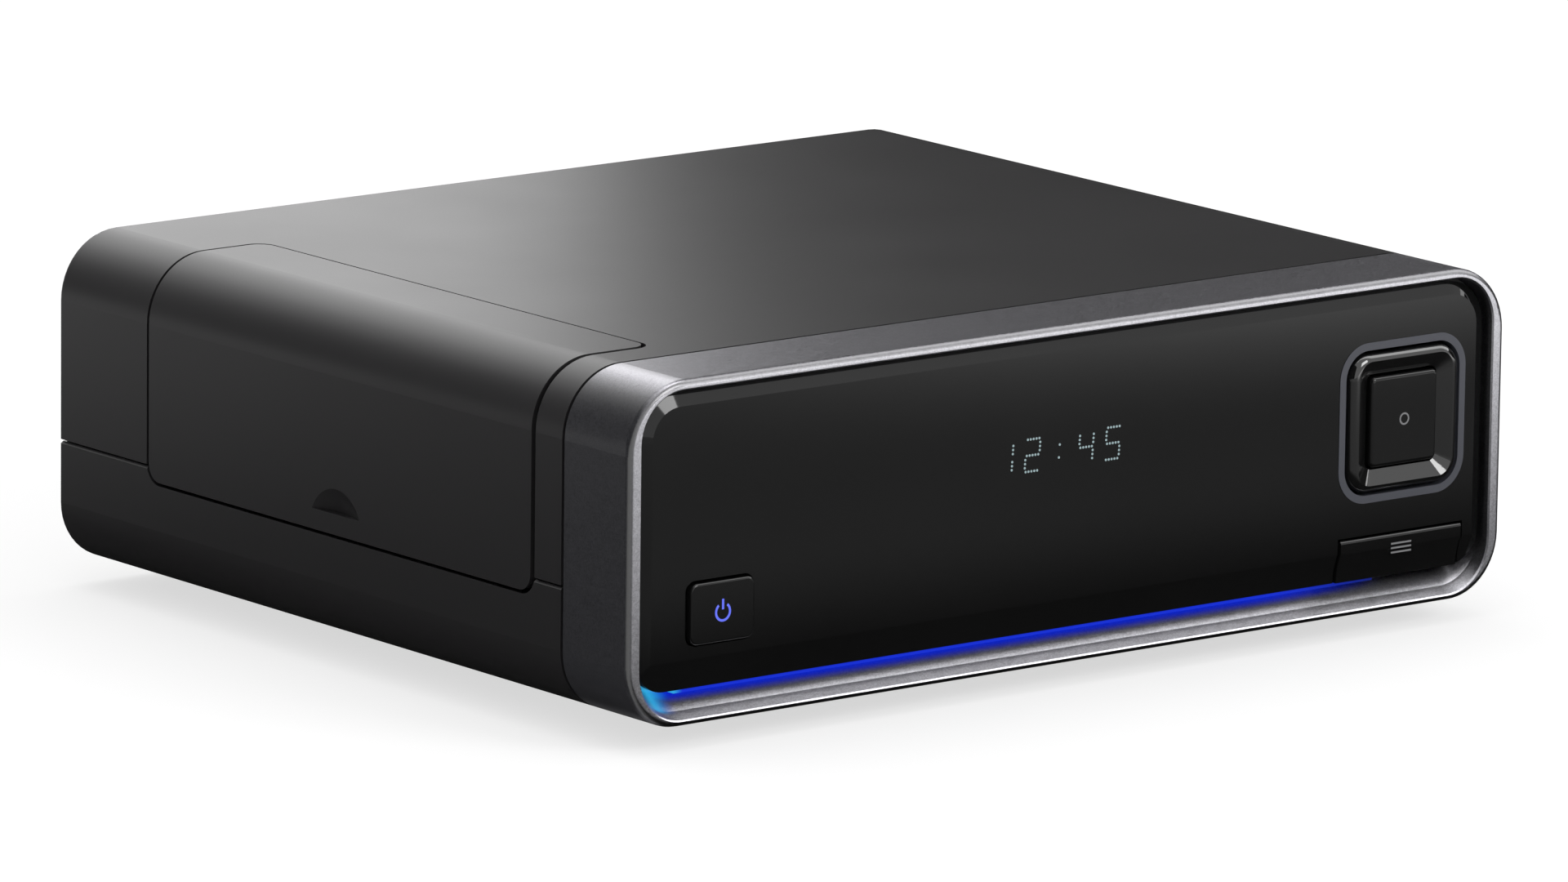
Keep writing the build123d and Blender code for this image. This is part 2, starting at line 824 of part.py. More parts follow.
# ---------------------------------------------------------------- option key
option_z_abs = base_z + option_top - option_stem_drop
option_x = (option_left + option_right) / 2
with BuildPart() as option_key:
    with BuildSketch(Plane.YZ.offset(option_left)):
        add(panel_profile(panel_front_y - option_proud, panel_rear_y, option_top_z, panel_bottom_z))
    extrude(amount=option_right - option_left)
    top_edge = option_key.edges().filter_by(Axis.X).group_by(Axis.Z)[-1].sort_by(Axis.Y)[0]
    fillet(top_edge, option_edge_radius)
    with BuildSketch(front_plane(stem_tip_y)):
        with Locations((option_x, option_z_abs)):
            Circle(stem_radius)
    extrude(amount=stem_tip_y - panel_rear_y)
write(option_key, "option_key")

# ---------------------------------------------------------------- direction key and its trim
ring_width = nav_trim_width - 2 * (nav_trim_band + nav_gap)
ring_height = nav_trim_height - 2 * (nav_trim_band + nav_gap)
ring_corner = nav_trim_corner - nav_trim_band - nav_gap
hole_width = ok_width + 2 * ok_gap
hole_height = ok_height + 2 * ok_gap
hole_corner = ok_corner + ok_gap
ring_rear_y = front_y + nav_ring_depth

with BuildPart() as nav_trim:
    with BuildSketch(front_plane(panel_rear_y)):
        add(rounded_rectangle(nav_x, nav_z_abs, nav_trim_width, nav_trim_height, nav_trim_corner))
        add(
            rounded_rectangle(
                nav_x, nav_z_abs, nav_trim_width - 2 * nav_trim_band, nav_trim_height - 2 * nav_trim_band,
                nav_trim_corner - nav_trim_band,
            ),
            mode=Mode.SUBTRACT,
        )
    extrude(amount=panel_thickness + nav_trim_proud)
write(nav_trim, "nav_trim")

with BuildPart() as nav_ring:
    with BuildSketch(front_plane(ring_rear_y)):
        add(rounded_rectangle(nav_x, nav_z_abs, ring_width, ring_height, ring_corner))
    extrude(amount=nav_ring_depth)
    fillet(nav_ring.faces().sort_by(Axis.Y)[0].edges(), nav_crest_radius)
    # Slope that runs down from the crest to the centre key
    for y, grow, corner in (
        (front_y, nav_slope_width, hole_corner + nav_slope_corner),
        (front_y + nav_slope_depth, 0.0, hole_corner),
    ):
        with BuildSketch(front_plane(y)):
            add(rounded_rectangle(
                nav_x, nav_z_abs, hole_width + 2 * grow, hole_height + 2 * grow, corner
            ))
    loft(mode=Mode.SUBTRACT)
    with BuildSketch(front_plane(ring_rear_y)):
        add(rounded_rectangle(nav_x, nav_z_abs, hole_width, hole_height, hole_corner))
    extrude(amount=nav_ring_depth, mode=Mode.SUBTRACT)
    # Ears above and below for the rocker frame's upright pins
    ear_z = ring_height / 2 - nav_lug_thickness / 2
    with BuildSketch(front_plane(gimbal_y + nav_lug_width / 2)):
        for side in (-1, 1):
            with Locations((nav_x, nav_z_abs + side * ear_z)):
                Rectangle(nav_lug_width, nav_lug_thickness)
    extrude(amount=gimbal_y + nav_lug_width / 2 - ring_rear_y)
    with BuildSketch(Plane(origin=(nav_x, gimbal_y, nav_z_abs - nav_trim_height))):
        Circle(nav_pin_radius + nav_pin_clearance)
    extrude(amount=2 * nav_trim_height, mode=Mode.SUBTRACT)
write(nav_ring, "nav_ring")

with BuildPart() as nav_gimbal:
    with BuildSketch(front_plane(gimbal_y + gimbal_thickness / 2)):
        with Locations((nav_x, nav_z_abs)):
            Rectangle(2 * gimbal_half, 2 * gimbal_half)
            Rectangle(
                2 * (gimbal_half - gimbal_band), 2 * (gimbal_half - gimbal_band), mode=Mode.SUBTRACT
            )
    extrude(amount=gimbal_thickness)
    pin_x = nav_lug_x + nav_lug_thickness
    pin_z = ring_height / 2
    pin_start = gimbal_half - gimbal_band / 2
    for direction, reach in (
        (Vector(1, 0, 0), pin_x),
        (Vector(-1, 0, 0), pin_x),
        (Vector(0, 0, 1), pin_z),
        (Vector(0, 0, -1), pin_z),
    ):
        start = Vector(nav_x, gimbal_y, nav_z_abs) + direction * pin_start
        with BuildSketch(Plane(origin=start, z_dir=direction)):
            Circle(nav_pin_radius)
        extrude(amount=reach - pin_start)
write(nav_gimbal, "nav_gimbal")

with BuildPart() as ok_button:
    ok_rear_y = ring_rear_y
    with BuildSketch(front_plane(ok_rear_y)):
        add(rounded_rectangle(nav_x, nav_z_abs, ok_width, ok_height, ok_corner))
    extrude(amount=nav_ring_depth - ok_recess)
    fillet(ok_button.faces().sort_by(Axis.Y)[0].edges(), ok_edge_radius)
    with BuildSketch(front_plane(stem_tip_y)):
        with Locations((nav_x, nav_z_abs)):
            Circle(stem_radius)
    extrude(amount=stem_tip_y - ok_rear_y)
write(ok_button, "ok_button")

# ---------------------------------------------------------------- front board, switches and display
front_board_left = left_x + front_board_margin_x
with BuildPart() as front_board:
    with BuildSketch(front_plane(front_board_rear_y)):
        low = base_z + front_board_bottom
        high = base_z + front_board_top
        with Locations((0, (low + high) / 2)):
            Rectangle(-2 * front_board_left, high - low)
        with Locations(*carrier_posts):
            Circle(screw_radius + screw_clearance, mode=Mode.SUBTRACT)
    extrude(amount=board_thickness)
write(front_board, "front_board")

switch_points = [(power_x, power_z_abs), (option_x, option_z_abs), (nav_x, nav_z_abs)]
with BuildPart() as key_switches:
    with BuildSketch(front_plane(front_board_y)):
        with Locations(*switch_points):
            Rectangle(switch_size, switch_size)
    extrude(amount=switch_depth)
    bore_depth = stem_grip + key_travel + switch_bore_spare
    with BuildSketch(front_plane(switch_face_y + bore_depth)):
        with Locations(*switch_points):
            Circle(stem_radius + stem_clearance)
    extrude(amount=bore_depth, mode=Mode.SUBTRACT)
write(key_switches, "key_switches")

nav_switch_y = ring_rear_y + nav_switch_gap + nav_plunger_length
with BuildPart() as nav_switches:
    with BuildSketch(front_plane(front_board_y)):
        with Locations((nav_x, nav_z_abs)):
            with GridLocations(nav_switch_spread, nav_switch_spread, 2, 2):
                Rectangle(nav_switch_size, nav_switch_size)
    extrude(amount=front_board_y - nav_switch_y)
    with BuildSketch(front_plane(nav_switch_y)):
        with Locations((nav_x, nav_z_abs)):
            with GridLocations(nav_switch_spread, nav_switch_spread, 2, 2):
                Circle(nav_plunger_radius)
    extrude(amount=nav_plunger_length)
write(nav_switches, "nav_switches")

with BuildPart() as display_module:
    with BuildSketch(front_plane(front_board_y)):
        with Locations((display_x, base_z + display_z)):
            Rectangle(display_width, display_height)
    extrude(amount=front_board_y - panel_rear_y)
    chamfer(display_module.faces().sort_by(Axis.Y)[0].edges(), display_chamfer)
write(display_module, "display_module")

guide_left = opening_left + opening_bottom_radius + guide_inset
guide_length = right_x - guide_from_right - guide_left
with BuildPart() as light_guide:
    with BuildSketch(Plane.XY.offset(guide_z)):
        with Locations((guide_left + guide_length / 2, front_y + guide_setback + guide_depth / 2)):
            Rectangle(guide_length, guide_depth)
    extrude(amount=guide_thickness)
write(light_guide, "light_guide")

with BuildPart() as light_source:
    with BuildSketch(Plane.XY.offset(guide_z + guide_thickness)):
        with Locations((
            guide_left + light_inset + light_size / 2, flange_rear_y + light_setback + light_size / 2
        )):
            Rectangle(light_size, light_size)
    extrude(amount=light_size)
write(light_source, "light_source")

with BuildPart() as front_screws:
    for x, z in carrier_posts:
        add(screw(
            (x, front_board_rear_y, z), (0, -1, 0), board_thickness + screw_bite,
            screw_head_radius, screw_head_height, screw_radius - screw_clearance,
        ))
write(front_screws, "front_screws")

# ---------------------------------------------------------------- drive door, tray and drive
with BuildPart() as finger_scoop:
    with Locations((left_x - scoop_radius + scoop_depth, bay_y, base_z + scoop_ledge - scoop_drop)):
        Sphere(scoop_radius)
    split(bisect_by=Plane.XY.offset(base_z + scoop_ledge), keep=Keep.TOP)

door_bosses = corner_points(
    bay_y - door_boss_spread / 2,
    bay_y + door_boss_spread / 2,
    tray_floor_top + door_boss_low,
    tray_z + tray_face_height - door_boss_high,
)
with BuildPart() as drive_door:
    with BuildSketch(front_plane(door_rear_y)):
        add(case_outline())
        add(case_outline(door_skin), mode=Mode.SUBTRACT)
    extrude(amount=door_length)
    add(door_space(), mode=Mode.INTERSECT)
    with BuildSketch(Plane.YZ.offset(left_x + door_skin)):
        with Locations(*door_bosses):
            Circle(door_boss_radius)
    extrude(amount=tray_face_gap)
    with BuildSketch(Plane.YZ.offset(left_x + door_skin + tray_face_gap)):
        with Locations(*door_bosses):
            Circle(door_screw_radius)
    extrude(amount=-tray_face_gap - door_screw_grip, mode=Mode.SUBTRACT)
    add(finger_scoop.part, mode=Mode.SUBTRACT)
write(drive_door, "drive_door")

with BuildPart() as drive_tray:
    tray_length = drive_end_x - tray_face_x
    with BuildSketch(Plane.YZ.offset(tray_face_x)):
        with Locations((bay_y, tray_z + tray_side_height / 2)):
            Rectangle(2 * tray_half, tray_side_height)
        with Locations((bay_y, tray_floor_top + tray_side_height / 2)):
            Rectangle(2 * tray_inner, tray_side_height, mode=Mode.SUBTRACT)
    extrude(amount=tray_length)
    with BuildSketch(Plane.YZ.offset(tray_face_x)):
        with Locations((bay_y, tray_z + tray_face_height / 2)):
            Rectangle(2 * tray_half, tray_face_height)
        with Locations((bay_y, tray_z + tray_face_height / 2)):
            SlotOverall(tray_slot_length, tray_slot_height, mode=Mode.SUBTRACT)
        with Locations(*door_bosses):
            Circle(door_screw_radius + door_screw_clearance, mode=Mode.SUBTRACT)
    extrude(amount=tray_thickness)
    # Windows in the floor, and holes for the drive's screws
    with BuildSketch(Plane.XY.offset(tray_z)):
        with Locations(((drive_x + drive_end_x) / 2, bay_y)):
            with GridLocations(tray_window_pitch, 0.0, 3, 1):
                RectangleRounded(tray_window_length, tray_window_width, tray_window_corner)
        with Locations(*drive_holes):
            Circle(screw_radius + screw_clearance)
    extrude(amount=tray_thickness, mode=Mode.SUBTRACT)
write(drive_tray, "drive_tray")

with BuildPart() as door_screws:
    for y, z in door_bosses:
        add(screw(
            (tray_face_x + tray_thickness, y, z), (-1, 0, 0),
            tray_thickness + tray_face_gap + door_screw_grip / 2,
            door_screw_head, door_screw_head_height, door_screw_radius,
        ))
write(door_screws, "door_screws")

drive_case_height = drive_height - drive_lid_thickness - drive_emboss
drive_board_x = drive_end_x - drive_board_from_end - drive_board_length / 2
plug_y = bay_y + drive_plug_offset
with BuildPart() as drive_case:
    with BuildSketch(Plane.XY.offset(drive_z)):
        with Locations(((drive_x + drive_end_x) / 2, bay_y)):
            RectangleRounded(drive_length, drive_width, drive_corner_radius)
    extrude(amount=drive_case_height)
    with BuildSketch(Plane.XY.offset(drive_z)):
        with Locations((drive_board_x, bay_y)):
            RectangleRounded(
                drive_board_length + 2 * drive_board_room,
                drive_board_width + 2 * drive_board_room,
                drive_corner_radius + drive_board_room,
            )
    extrude(amount=drive_board_recess, mode=Mode.SUBTRACT)
    with BuildSketch(Plane.XY.offset(drive_z)):
        with Locations((drive_end_x - drive_plug_depth / 2, plug_y)):
            Rectangle(drive_plug_depth, drive_plug_width)
    extrude(amount=drive_plug_height, mode=Mode.SUBTRACT)
    with BuildSketch(Plane.XY.offset(drive_z)):
        with Locations(*drive_holes):
            Circle(screw_radius)
    extrude(amount=drive_hole_depth, mode=Mode.SUBTRACT)
write(drive_case, "drive_case")

with BuildPart() as drive_lid:
    with BuildSketch(Plane.XY.offset(drive_z + drive_case_height)):
        with Locations(((drive_x + drive_end_x) / 2, bay_y)):
            RectangleRounded(
                drive_length - 2 * drive_lid_margin, drive_width - 2 * drive_lid_margin, drive_lid_corner
            )
    extrude(amount=drive_lid_thickness)
    with BuildSketch(Plane.XY.offset(drive_z + drive_case_height + drive_lid_thickness)):
        with Locations((drive_x + drive_dish_from_face, bay_y)):
            Circle(drive_dish_radius)
            Circle(drive_dish_hub, mode=Mode.SUBTRACT)
    extrude(amount=drive_emboss)
write(drive_lid, "drive_lid")

with BuildPart() as drive_board:
    with BuildSketch(Plane.XY.offset(drive_z + drive_board_recess - drive_board_thickness)):
        with Locations((drive_board_x, bay_y)):
            RectangleRounded(drive_board_length, drive_board_width, drive_corner_radius)
    extrude(amount=drive_board_thickness)
write(drive_board, "drive_board")

plug_mouth_width = drive_plug_width - 2 * drive_plug_wall
plug_mouth_height = drive_plug_height - 2 * drive_plug_wall
with BuildPart() as drive_plug:
    with BuildSketch(Plane.XY.offset(drive_z)):
        with Locations((drive_end_x - drive_plug_depth / 2, plug_y)):
            Rectangle(drive_plug_depth, drive_plug_width)
    extrude(amount=drive_plug_height)
    with BuildSketch(Plane.YZ.offset(drive_end_x)):
        with Locations((plug_y, drive_z + drive_plug_height / 2)):
            Rectangle(plug_mouth_width, plug_mouth_height)
    extrude(amount=drive_plug_floor - drive_plug_depth, mode=Mode.SUBTRACT)
write(drive_plug, "drive_plug")

with BuildPart() as drive_screws:
    for x, y in drive_holes:
        add(screw(
            (x, y, tray_z), (0, 0, 1), tray_thickness + screw_bite,
            screw_head_radius, drive_screw_head_height, screw_radius - screw_clearance,
        ))
write(drive_screws, "drive_screws")

# ---------------------------------------------------------------- rails and deck
with BuildPart() as tray_rails:
    for side in (-1, 1):
        wall_in = side * rail_inner
        wall_out = side * rail_outer
        ledge_in = side * (tray_half - rail_ledge)
        lip_in = side * lip_inner
        with BuildSketch(Plane.YZ.offset(rail_x)):
            with BuildLine():
                Polyline(
                    (bay_y + ledge_in, deck_top_z),
                    (bay_y + wall_out, deck_top_z),
                    (bay_y + wall_out, rail_lip_z + rail_lip_thickness),
                    (bay_y + lip_in, rail_lip_z + rail_lip_thickness),
                    (bay_y + lip_in, rail_lip_z),
                    (bay_y + wall_in, rail_lip_z),
                    (bay_y + wall_in, ledge_top_z),
                    (bay_y + ledge_in, ledge_top_z),
                    close=True,
                )
            make_face()
        extrude(amount=rail_length)
write(tray_rails, "tray_rails")

with BuildPart() as drive_deck:
    with BuildSketch(Plane.XY.offset(deck_z)):
        with Locations(((rail_x + deck_right_x) / 2, bay_y)):
            Rectangle(deck_right_x - rail_x, 2 * deck_half)
            with GridLocations(deck_window_pitch, 0.0, 3, 1):
                RectangleRounded(
                    deck_window_length, deck_window_width, tray_window_corner, mode=Mode.SUBTRACT
                )
        with Locations(*deck_posts):
            Circle(screw_radius + screw_clearance, mode=Mode.SUBTRACT)
    extrude(amount=deck_thickness)
write(drive_deck, "drive_deck")

with BuildPart() as base_screws:
    for x, y in deck_posts:
        add(screw(
            (x, y, base_z + screw_pocket), (0, 0, 1),
            deck_top_z - base_z - screw_pocket + base_screw_spare,
            screw_head_radius, screw_head_height, screw_radius,
        ))
write(base_screws, "base_screws")

# ---------------------------------------------------------------- main board and backplane
backplane_x = drive_end_x + backplane_gap
with BuildPart() as main_board:
    with BuildSketch(Plane.XY.offset(board_z)):
        with Locations(((board_left + board_right) / 2, (board_front_y + board_rear_y) / 2)):
            RectangleRounded(board_right - board_left, board_rear_y - board_front_y, board_corner_radius)
        with Locations(*deck_posts):
            Circle(post_radius + post_clearance, mode=Mode.SUBTRACT)
        with Locations(*board_bosses):
            Circle(screw_radius + screw_clearance, mode=Mode.SUBTRACT)
    extrude(amount=board_thickness)
write(main_board, "main_board")

with BuildPart() as board_screws:
    for x, y in board_bosses:
        add(screw(
            (x, y, board_top_z), (0, 0, -1), board_thickness + screw_bite,
            screw_head_radius, screw_head_height, screw_radius - screw_clearance,
        ))
write(board_screws, "board_screws")

# Two memories beside the heat sink, a large controller and a small one: place and side length
chip_spots = ((-30.0, 20.0, 14.0), (-30.0, -4.0, 14.0), (30.0, -24.0, 20.0), (52.0, 22.0, 10.0))
with BuildPart() as board_chips:
    for x, y, size in chip_spots:
        with BuildSketch(Plane.XY.offset(board_top_z)):
            with Locations((x, y)):
                Rectangle(size, size)
        extrude(amount=chip_height)
write(board_chips, "board_chips")

with BuildPart() as heat_sink:
    with BuildSketch(Plane.XY.offset(board_top_z)):
        with Locations((0, heat_sink_y)):
            Rectangle(heat_sink_size, heat_sink_size)
    extrude(amount=heat_sink_base)
    with BuildSketch(Plane.XY.offset(board_top_z + heat_sink_base)):
        with Locations((0, heat_sink_y)):
            with GridLocations((heat_sink_size - fin_thickness) / (fin_count - 1), 0.0, fin_count, 1):
                Rectangle(fin_thickness, heat_sink_size)
    extrude(amount=deck_z - heat_sink_headroom - board_top_z - heat_sink_base)
write(heat_sink, "heat_sink")

with BuildPart() as board_capacitors:
    with BuildSketch(Plane.XY.offset(board_top_z)):
        with Locations((board_left + capacitor_inset, capacitor_y)):
            with GridLocations(0.0, capacitor_pitch, 1, capacitor_count):
                Circle(capacitor_radius)
    extrude(amount=capacitor_height)
write(board_capacitors, "board_capacitors")

backplane_top_z = drive_z + backplane_above_drive
with BuildPart() as backplane:
    with BuildSketch(Plane.YZ.offset(backplane_x)):
        with Locations((bay_y, (board_top_z + backplane_top_z) / 2)):
            Rectangle(backplane_width, backplane_top_z - board_top_z)
    extrude(amount=board_thickness)
write(backplane, "backplane")

with BuildPart() as drive_socket:
    with BuildSketch(Plane.YZ.offset(drive_end_x + socket_gap)):
        with Locations((plug_y, drive_z + drive_plug_height / 2)):
            Rectangle(drive_plug_width, drive_plug_height)
    extrude(amount=backplane_x - drive_end_x - socket_gap)
    with BuildSketch(Plane.YZ.offset(drive_end_x + socket_gap)):
        with Locations((plug_y, drive_z + drive_plug_height / 2)):
            Rectangle(plug_mouth_width - 2 * socket_gap, plug_mouth_height - 2 * socket_gap)
    extrude(amount=-socket_blade)
write(drive_socket, "drive_socket")

# ---------------------------------------------------------------- rear connectors
jack_z = board_top_z + jack_block_height / 2
row_width = lan_width + usb_width + optical_size + 2 * port_gap
row_left = (jacks_x + jack_block_width / 2 + fan_x - fan_size / 2 - row_width) / 2
lan_x = row_left + lan_width / 2
usb_x = lan_x + (lan_width + usb_width) / 2 + port_gap
optical_x = usb_x + (usb_width + optical_size) / 2 + port_gap
hdmi_x = fan_x - hdmi_from_fan
dc_x = fan_x + fan_size / 2 + dc_from_fan


def port_box(x, across, up):
    """Connector body on the main board whose mouth stands in the rear panel."""
    with BuildPart() as body:
        with BuildSketch(front_plane(connector_y)):
            with Locations((x, board_top_z + up / 2)):
                Rectangle(across, up)
        extrude(amount=port_depth)
    return body.part


with BuildPart() as lan_port:
    add(port_box(lan_x, lan_width, lan_height))
    with BuildSketch(front_plane(connector_y)):
        with Locations((lan_x, board_top_z + lan_height / 2)):
            Rectangle(lan_mouth_width, lan_mouth_height)
    extrude(amount=lan_mouth_depth, mode=Mode.SUBTRACT)
write(lan_port, "lan_port")

with BuildPart() as usb_ports:
    add(port_box(usb_x, usb_width, usb_height))
    tongue_rise = (usb_mouth_height - usb_tongue_height) / 4
    for side in (-1, 1):
        with BuildSketch(front_plane(connector_y)):
            with Locations((usb_x, board_top_z + (usb_height + side * usb_mouth_pitch) / 2)):
                Rectangle(usb_mouth_width, usb_mouth_height)
                with Locations((0, tongue_rise)):
                    Rectangle(usb_tongue_width, usb_tongue_height, mode=Mode.SUBTRACT)
        extrude(amount=usb_mouth_depth, mode=Mode.SUBTRACT)
write(usb_ports, "usb_ports")

with BuildPart() as optical_port:
    add(port_box(optical_x, optical_size, optical_size))
    with BuildSketch(front_plane(connector_y)):
        with Locations((optical_x, board_top_z + optical_size / 2)):
            RectangleRounded(optical_mouth, optical_mouth, optical_mouth_corner)
            Circle(optical_lens_radius, mode=Mode.SUBTRACT)
    extrude(amount=optical_mouth_depth, mode=Mode.SUBTRACT)
write(optical_port, "optical_port")

with BuildPart() as hdmi_port:
    add(port_box(hdmi_x, hdmi_width, hdmi_height))
    with BuildSketch(front_plane(connector_y)):
        with Locations((hdmi_x, board_top_z + hdmi_height / 2)):
            Rectangle(hdmi_mouth_width, hdmi_mouth_height)
            Rectangle(hdmi_tongue_width, hdmi_tongue_height, mode=Mode.SUBTRACT)
    extrude(amount=hdmi_mouth_depth, mode=Mode.SUBTRACT)
write(hdmi_port, "hdmi_port")

with BuildPart() as dc_jack:
    add(port_box(dc_x, dc_width, dc_height))
    with BuildSketch(front_plane(connector_y)):
        with Locations((dc_x, board_top_z + dc_height / 2)):
            Circle(dc_bore_radius)
            Circle(dc_pin_radius, mode=Mode.SUBTRACT)
    extrude(amount=dc_bore_depth, mode=Mode.SUBTRACT)
write(dc_jack, "dc_jack")

with BuildPart() as av_jacks:
    with BuildSketch(front_plane(panel_inner_y)):
        with Locations((jacks_x, jack_z)):
            Rectangle(jack_block_width, jack_block_height)
    extrude(amount=jack_block_depth)
    for y, radius, length in (
        (panel_y, jack_collar_radius, rear_panel_thickness),
        (panel_y + jack_length, jack_radius, jack_length),
    ):
        with BuildSketch(front_plane(y)):
            with Locations((jacks_x, jack_z)):
                with GridLocations(jack_pitch_x, jack_pitch_z, 3, 2):
                    Circle(radius)
                    Circle(jack_bore_radius, mode=Mode.SUBTRACT)
        extrude(amount=length)
write(av_jacks, "av_jacks")

# ---------------------------------------------------------------- rear panel
with BuildPart() as rear_panel:
    with BuildSketch(front_plane(panel_y)):
        add(case_outline(wall + rear_panel_clearance))
        grow = 2 * cutout_gap
        for x, across, up in (
            (lan_x, lan_width, lan_height),
            (usb_x, usb_width, usb_height),
            (optical_x, optical_size, optical_size),
            (hdmi_x, hdmi_width, hdmi_height),
            (dc_x, dc_width, dc_height),
        ):
            with Locations((x, board_top_z + up / 2)):
                Rectangle(across + grow, up + grow, mode=Mode.SUBTRACT)
        with Locations((jacks_x, jack_z)):
            with GridLocations(jack_pitch_x, jack_pitch_z, 3, 2):
                Circle(jack_collar_radius + cutout_gap, mode=Mode.SUBTRACT)
        # Air slots over the fan, shortened towards the rim of its bore
        for row in range(grille_slots):
            rise = (row - (grille_slots - 1) / 2) * grille_pitch
            length = 2 * (fan_bore_radius**2 - rise**2) ** 0.5 - 2 * grille_margin
            with Locations((fan_x, fan_z + rise)):
                SlotOverall(length, grille_pitch - grille_bar, mode=Mode.SUBTRACT)
        with Locations((fan_x, fan_z)):
            with GridLocations(fan_screw_spread, fan_screw_spread, 2, 2):
                Circle(screw_radius + screw_clearance, mode=Mode.SUBTRACT)
        with Locations(*rear_ports):
            Circle(screw_radius + screw_clearance, mode=Mode.SUBTRACT)
    extrude(amount=rear_panel_thickness)
write(rear_panel, "rear_panel")

with BuildPart() as rear_screws:
    for x, z in rear_ports:
        add(screw(
            (x, panel_y, z), (0, -1, 0), rear_port_length - screw_bite,
            screw_head_radius, screw_head_height, screw_radius - screw_clearance,
        ))
write(rear_screws, "rear_screws")

# ---------------------------------------------------------------- fan
fan_rear_y = panel_inner_y
fan_front_y = fan_rear_y - fan_thickness
with BuildPart() as fan_frame:
    with BuildSketch(front_plane(fan_rear_y)):
        with Locations((fan_x, fan_z)):
            RectangleRounded(fan_size, fan_size, fan_corner_radius)
            Circle(fan_bore_radius, mode=Mode.SUBTRACT)
            with GridLocations(fan_screw_spread, fan_screw_spread, 2, 2):
                Circle(screw_radius + screw_clearance, mode=Mode.SUBTRACT)
    extrude(amount=fan_thickness)
    with BuildSketch(front_plane(fan_rear_y)):
        with Locations((fan_x, fan_z)):
            Circle(fan_hub_radius)
            with PolarLocations(0, 4, start_angle=45):
                with Locations(((fan_hub_radius + fan_bore_radius) / 2, 0)):
                    Rectangle(fan_bore_radius - fan_hub_radius + fan_strut_width, fan_strut_width)
    extrude(amount=fan_strut_thickness)
    with BuildSketch(front_plane(fan_rear_y - fan_strut_thickness)):
        with Locations((fan_x, fan_z)):
            Circle(fan_bearing_radius)
    extrude(amount=fan_bearing_length)
    with BuildSketch(front_plane(fan_rear_y - fan_strut_thickness)):
        with Locations((fan_x, fan_z)):
            Circle(fan_shaft_radius + fan_shaft_clearance)
    extrude(amount=fan_bearing_length, mode=Mode.SUBTRACT)
write(fan_frame, "fan_frame")

hub_front_y = fan_front_y + fan_hub_inset
hub_rear_y = fan_rear_y - fan_strut_thickness - fan_hub_clearance
with BuildPart() as fan_rotor:
    with BuildSketch(front_plane(hub_rear_y)):
        with Locations((fan_x, fan_z)):
            Circle(fan_hub_radius)
    extrude(amount=hub_rear_y - hub_front_y)
    with BuildSketch(front_plane(hub_rear_y)):
        with Locations((fan_x, fan_z)):
            Circle(fan_hub_radius - fan_hub_wall)
    extrude(amount=hub_rear_y - hub_front_y - fan_hub_wall, mode=Mode.SUBTRACT)
    with BuildSketch(front_plane(hub_rear_y)):
        with Locations((fan_x, fan_z)):
            Circle(fan_shaft_radius)
    extrude(amount=hub_rear_y - hub_front_y - fan_hub_wall / 2)
    # Blades, pitched about their own spokes
    blade_start = fan_hub_radius - fan_hub_wall / 2
    blade_tip = fan_bore_radius - fan_blade_clearance
    for index in range(fan_blades):
        spoke = Vector(1, 0, 0).rotate(Axis.Y, index * 360 / fan_blades)
        root = Vector(fan_x, (hub_front_y + hub_rear_y) / 2, fan_z) + spoke * blade_start
        along = Vector(0, 1, 0).rotate(Axis((0, 0, 0), spoke), fan_blade_pitch)
        with BuildSketch(Plane(origin=root, x_dir=along, z_dir=spoke)):
            Rectangle(fan_blade_chord, fan_blade_thickness)
        extrude(amount=blade_tip - blade_start)
write(fan_rotor, "fan_rotor")

half_spread = fan_screw_spread / 2
with BuildPart() as fan_screws:
    for x, z in corner_points(
        fan_x - half_spread, fan_x + half_spread, fan_z - half_spread, fan_z + half_spread
    ):
        add(screw(
            (x, panel_y, z), (0, -1, 0), rear_panel_thickness + fan_thickness,
            screw_head_radius, screw_head_height, screw_radius,
        ))
write(fan_screws, "fan_screws")

# ---------------------------------------------------------------- feet
with BuildPart() as feet:
    with BuildSketch(Plane.XY.offset(base_z)):
        with Locations(*foot_points):
            Circle(foot_radius)
    extrude(amount=-foot_height)
    fillet(feet.edges().group_by(Axis.Z)[0], foot_edge_radius)
write(feet, "feet")
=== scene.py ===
# %% [markdown]
# # Media player with a hard drive tray
# A small black player stands on a pale floor. Its construction comes ready made, with every
# shell, key and screw at its real size. This lesson dresses it: it gives each piece its
# finish, adds the printed and glowing marks, and sets up the light and the camera.

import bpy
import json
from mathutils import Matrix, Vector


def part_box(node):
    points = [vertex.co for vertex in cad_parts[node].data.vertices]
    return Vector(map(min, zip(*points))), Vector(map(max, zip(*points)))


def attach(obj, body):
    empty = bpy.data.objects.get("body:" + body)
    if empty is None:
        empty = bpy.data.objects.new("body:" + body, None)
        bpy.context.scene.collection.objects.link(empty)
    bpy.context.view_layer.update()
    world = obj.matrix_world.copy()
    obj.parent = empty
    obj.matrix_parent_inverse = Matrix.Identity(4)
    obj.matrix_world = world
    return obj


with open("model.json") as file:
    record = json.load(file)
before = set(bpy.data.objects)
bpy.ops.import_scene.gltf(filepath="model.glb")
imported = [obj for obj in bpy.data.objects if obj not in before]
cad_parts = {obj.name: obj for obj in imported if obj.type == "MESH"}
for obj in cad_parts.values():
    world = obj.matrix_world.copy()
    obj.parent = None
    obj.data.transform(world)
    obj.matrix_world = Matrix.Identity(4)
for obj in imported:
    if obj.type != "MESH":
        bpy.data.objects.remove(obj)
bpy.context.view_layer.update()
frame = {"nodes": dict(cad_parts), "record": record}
nodes = frame["nodes"]

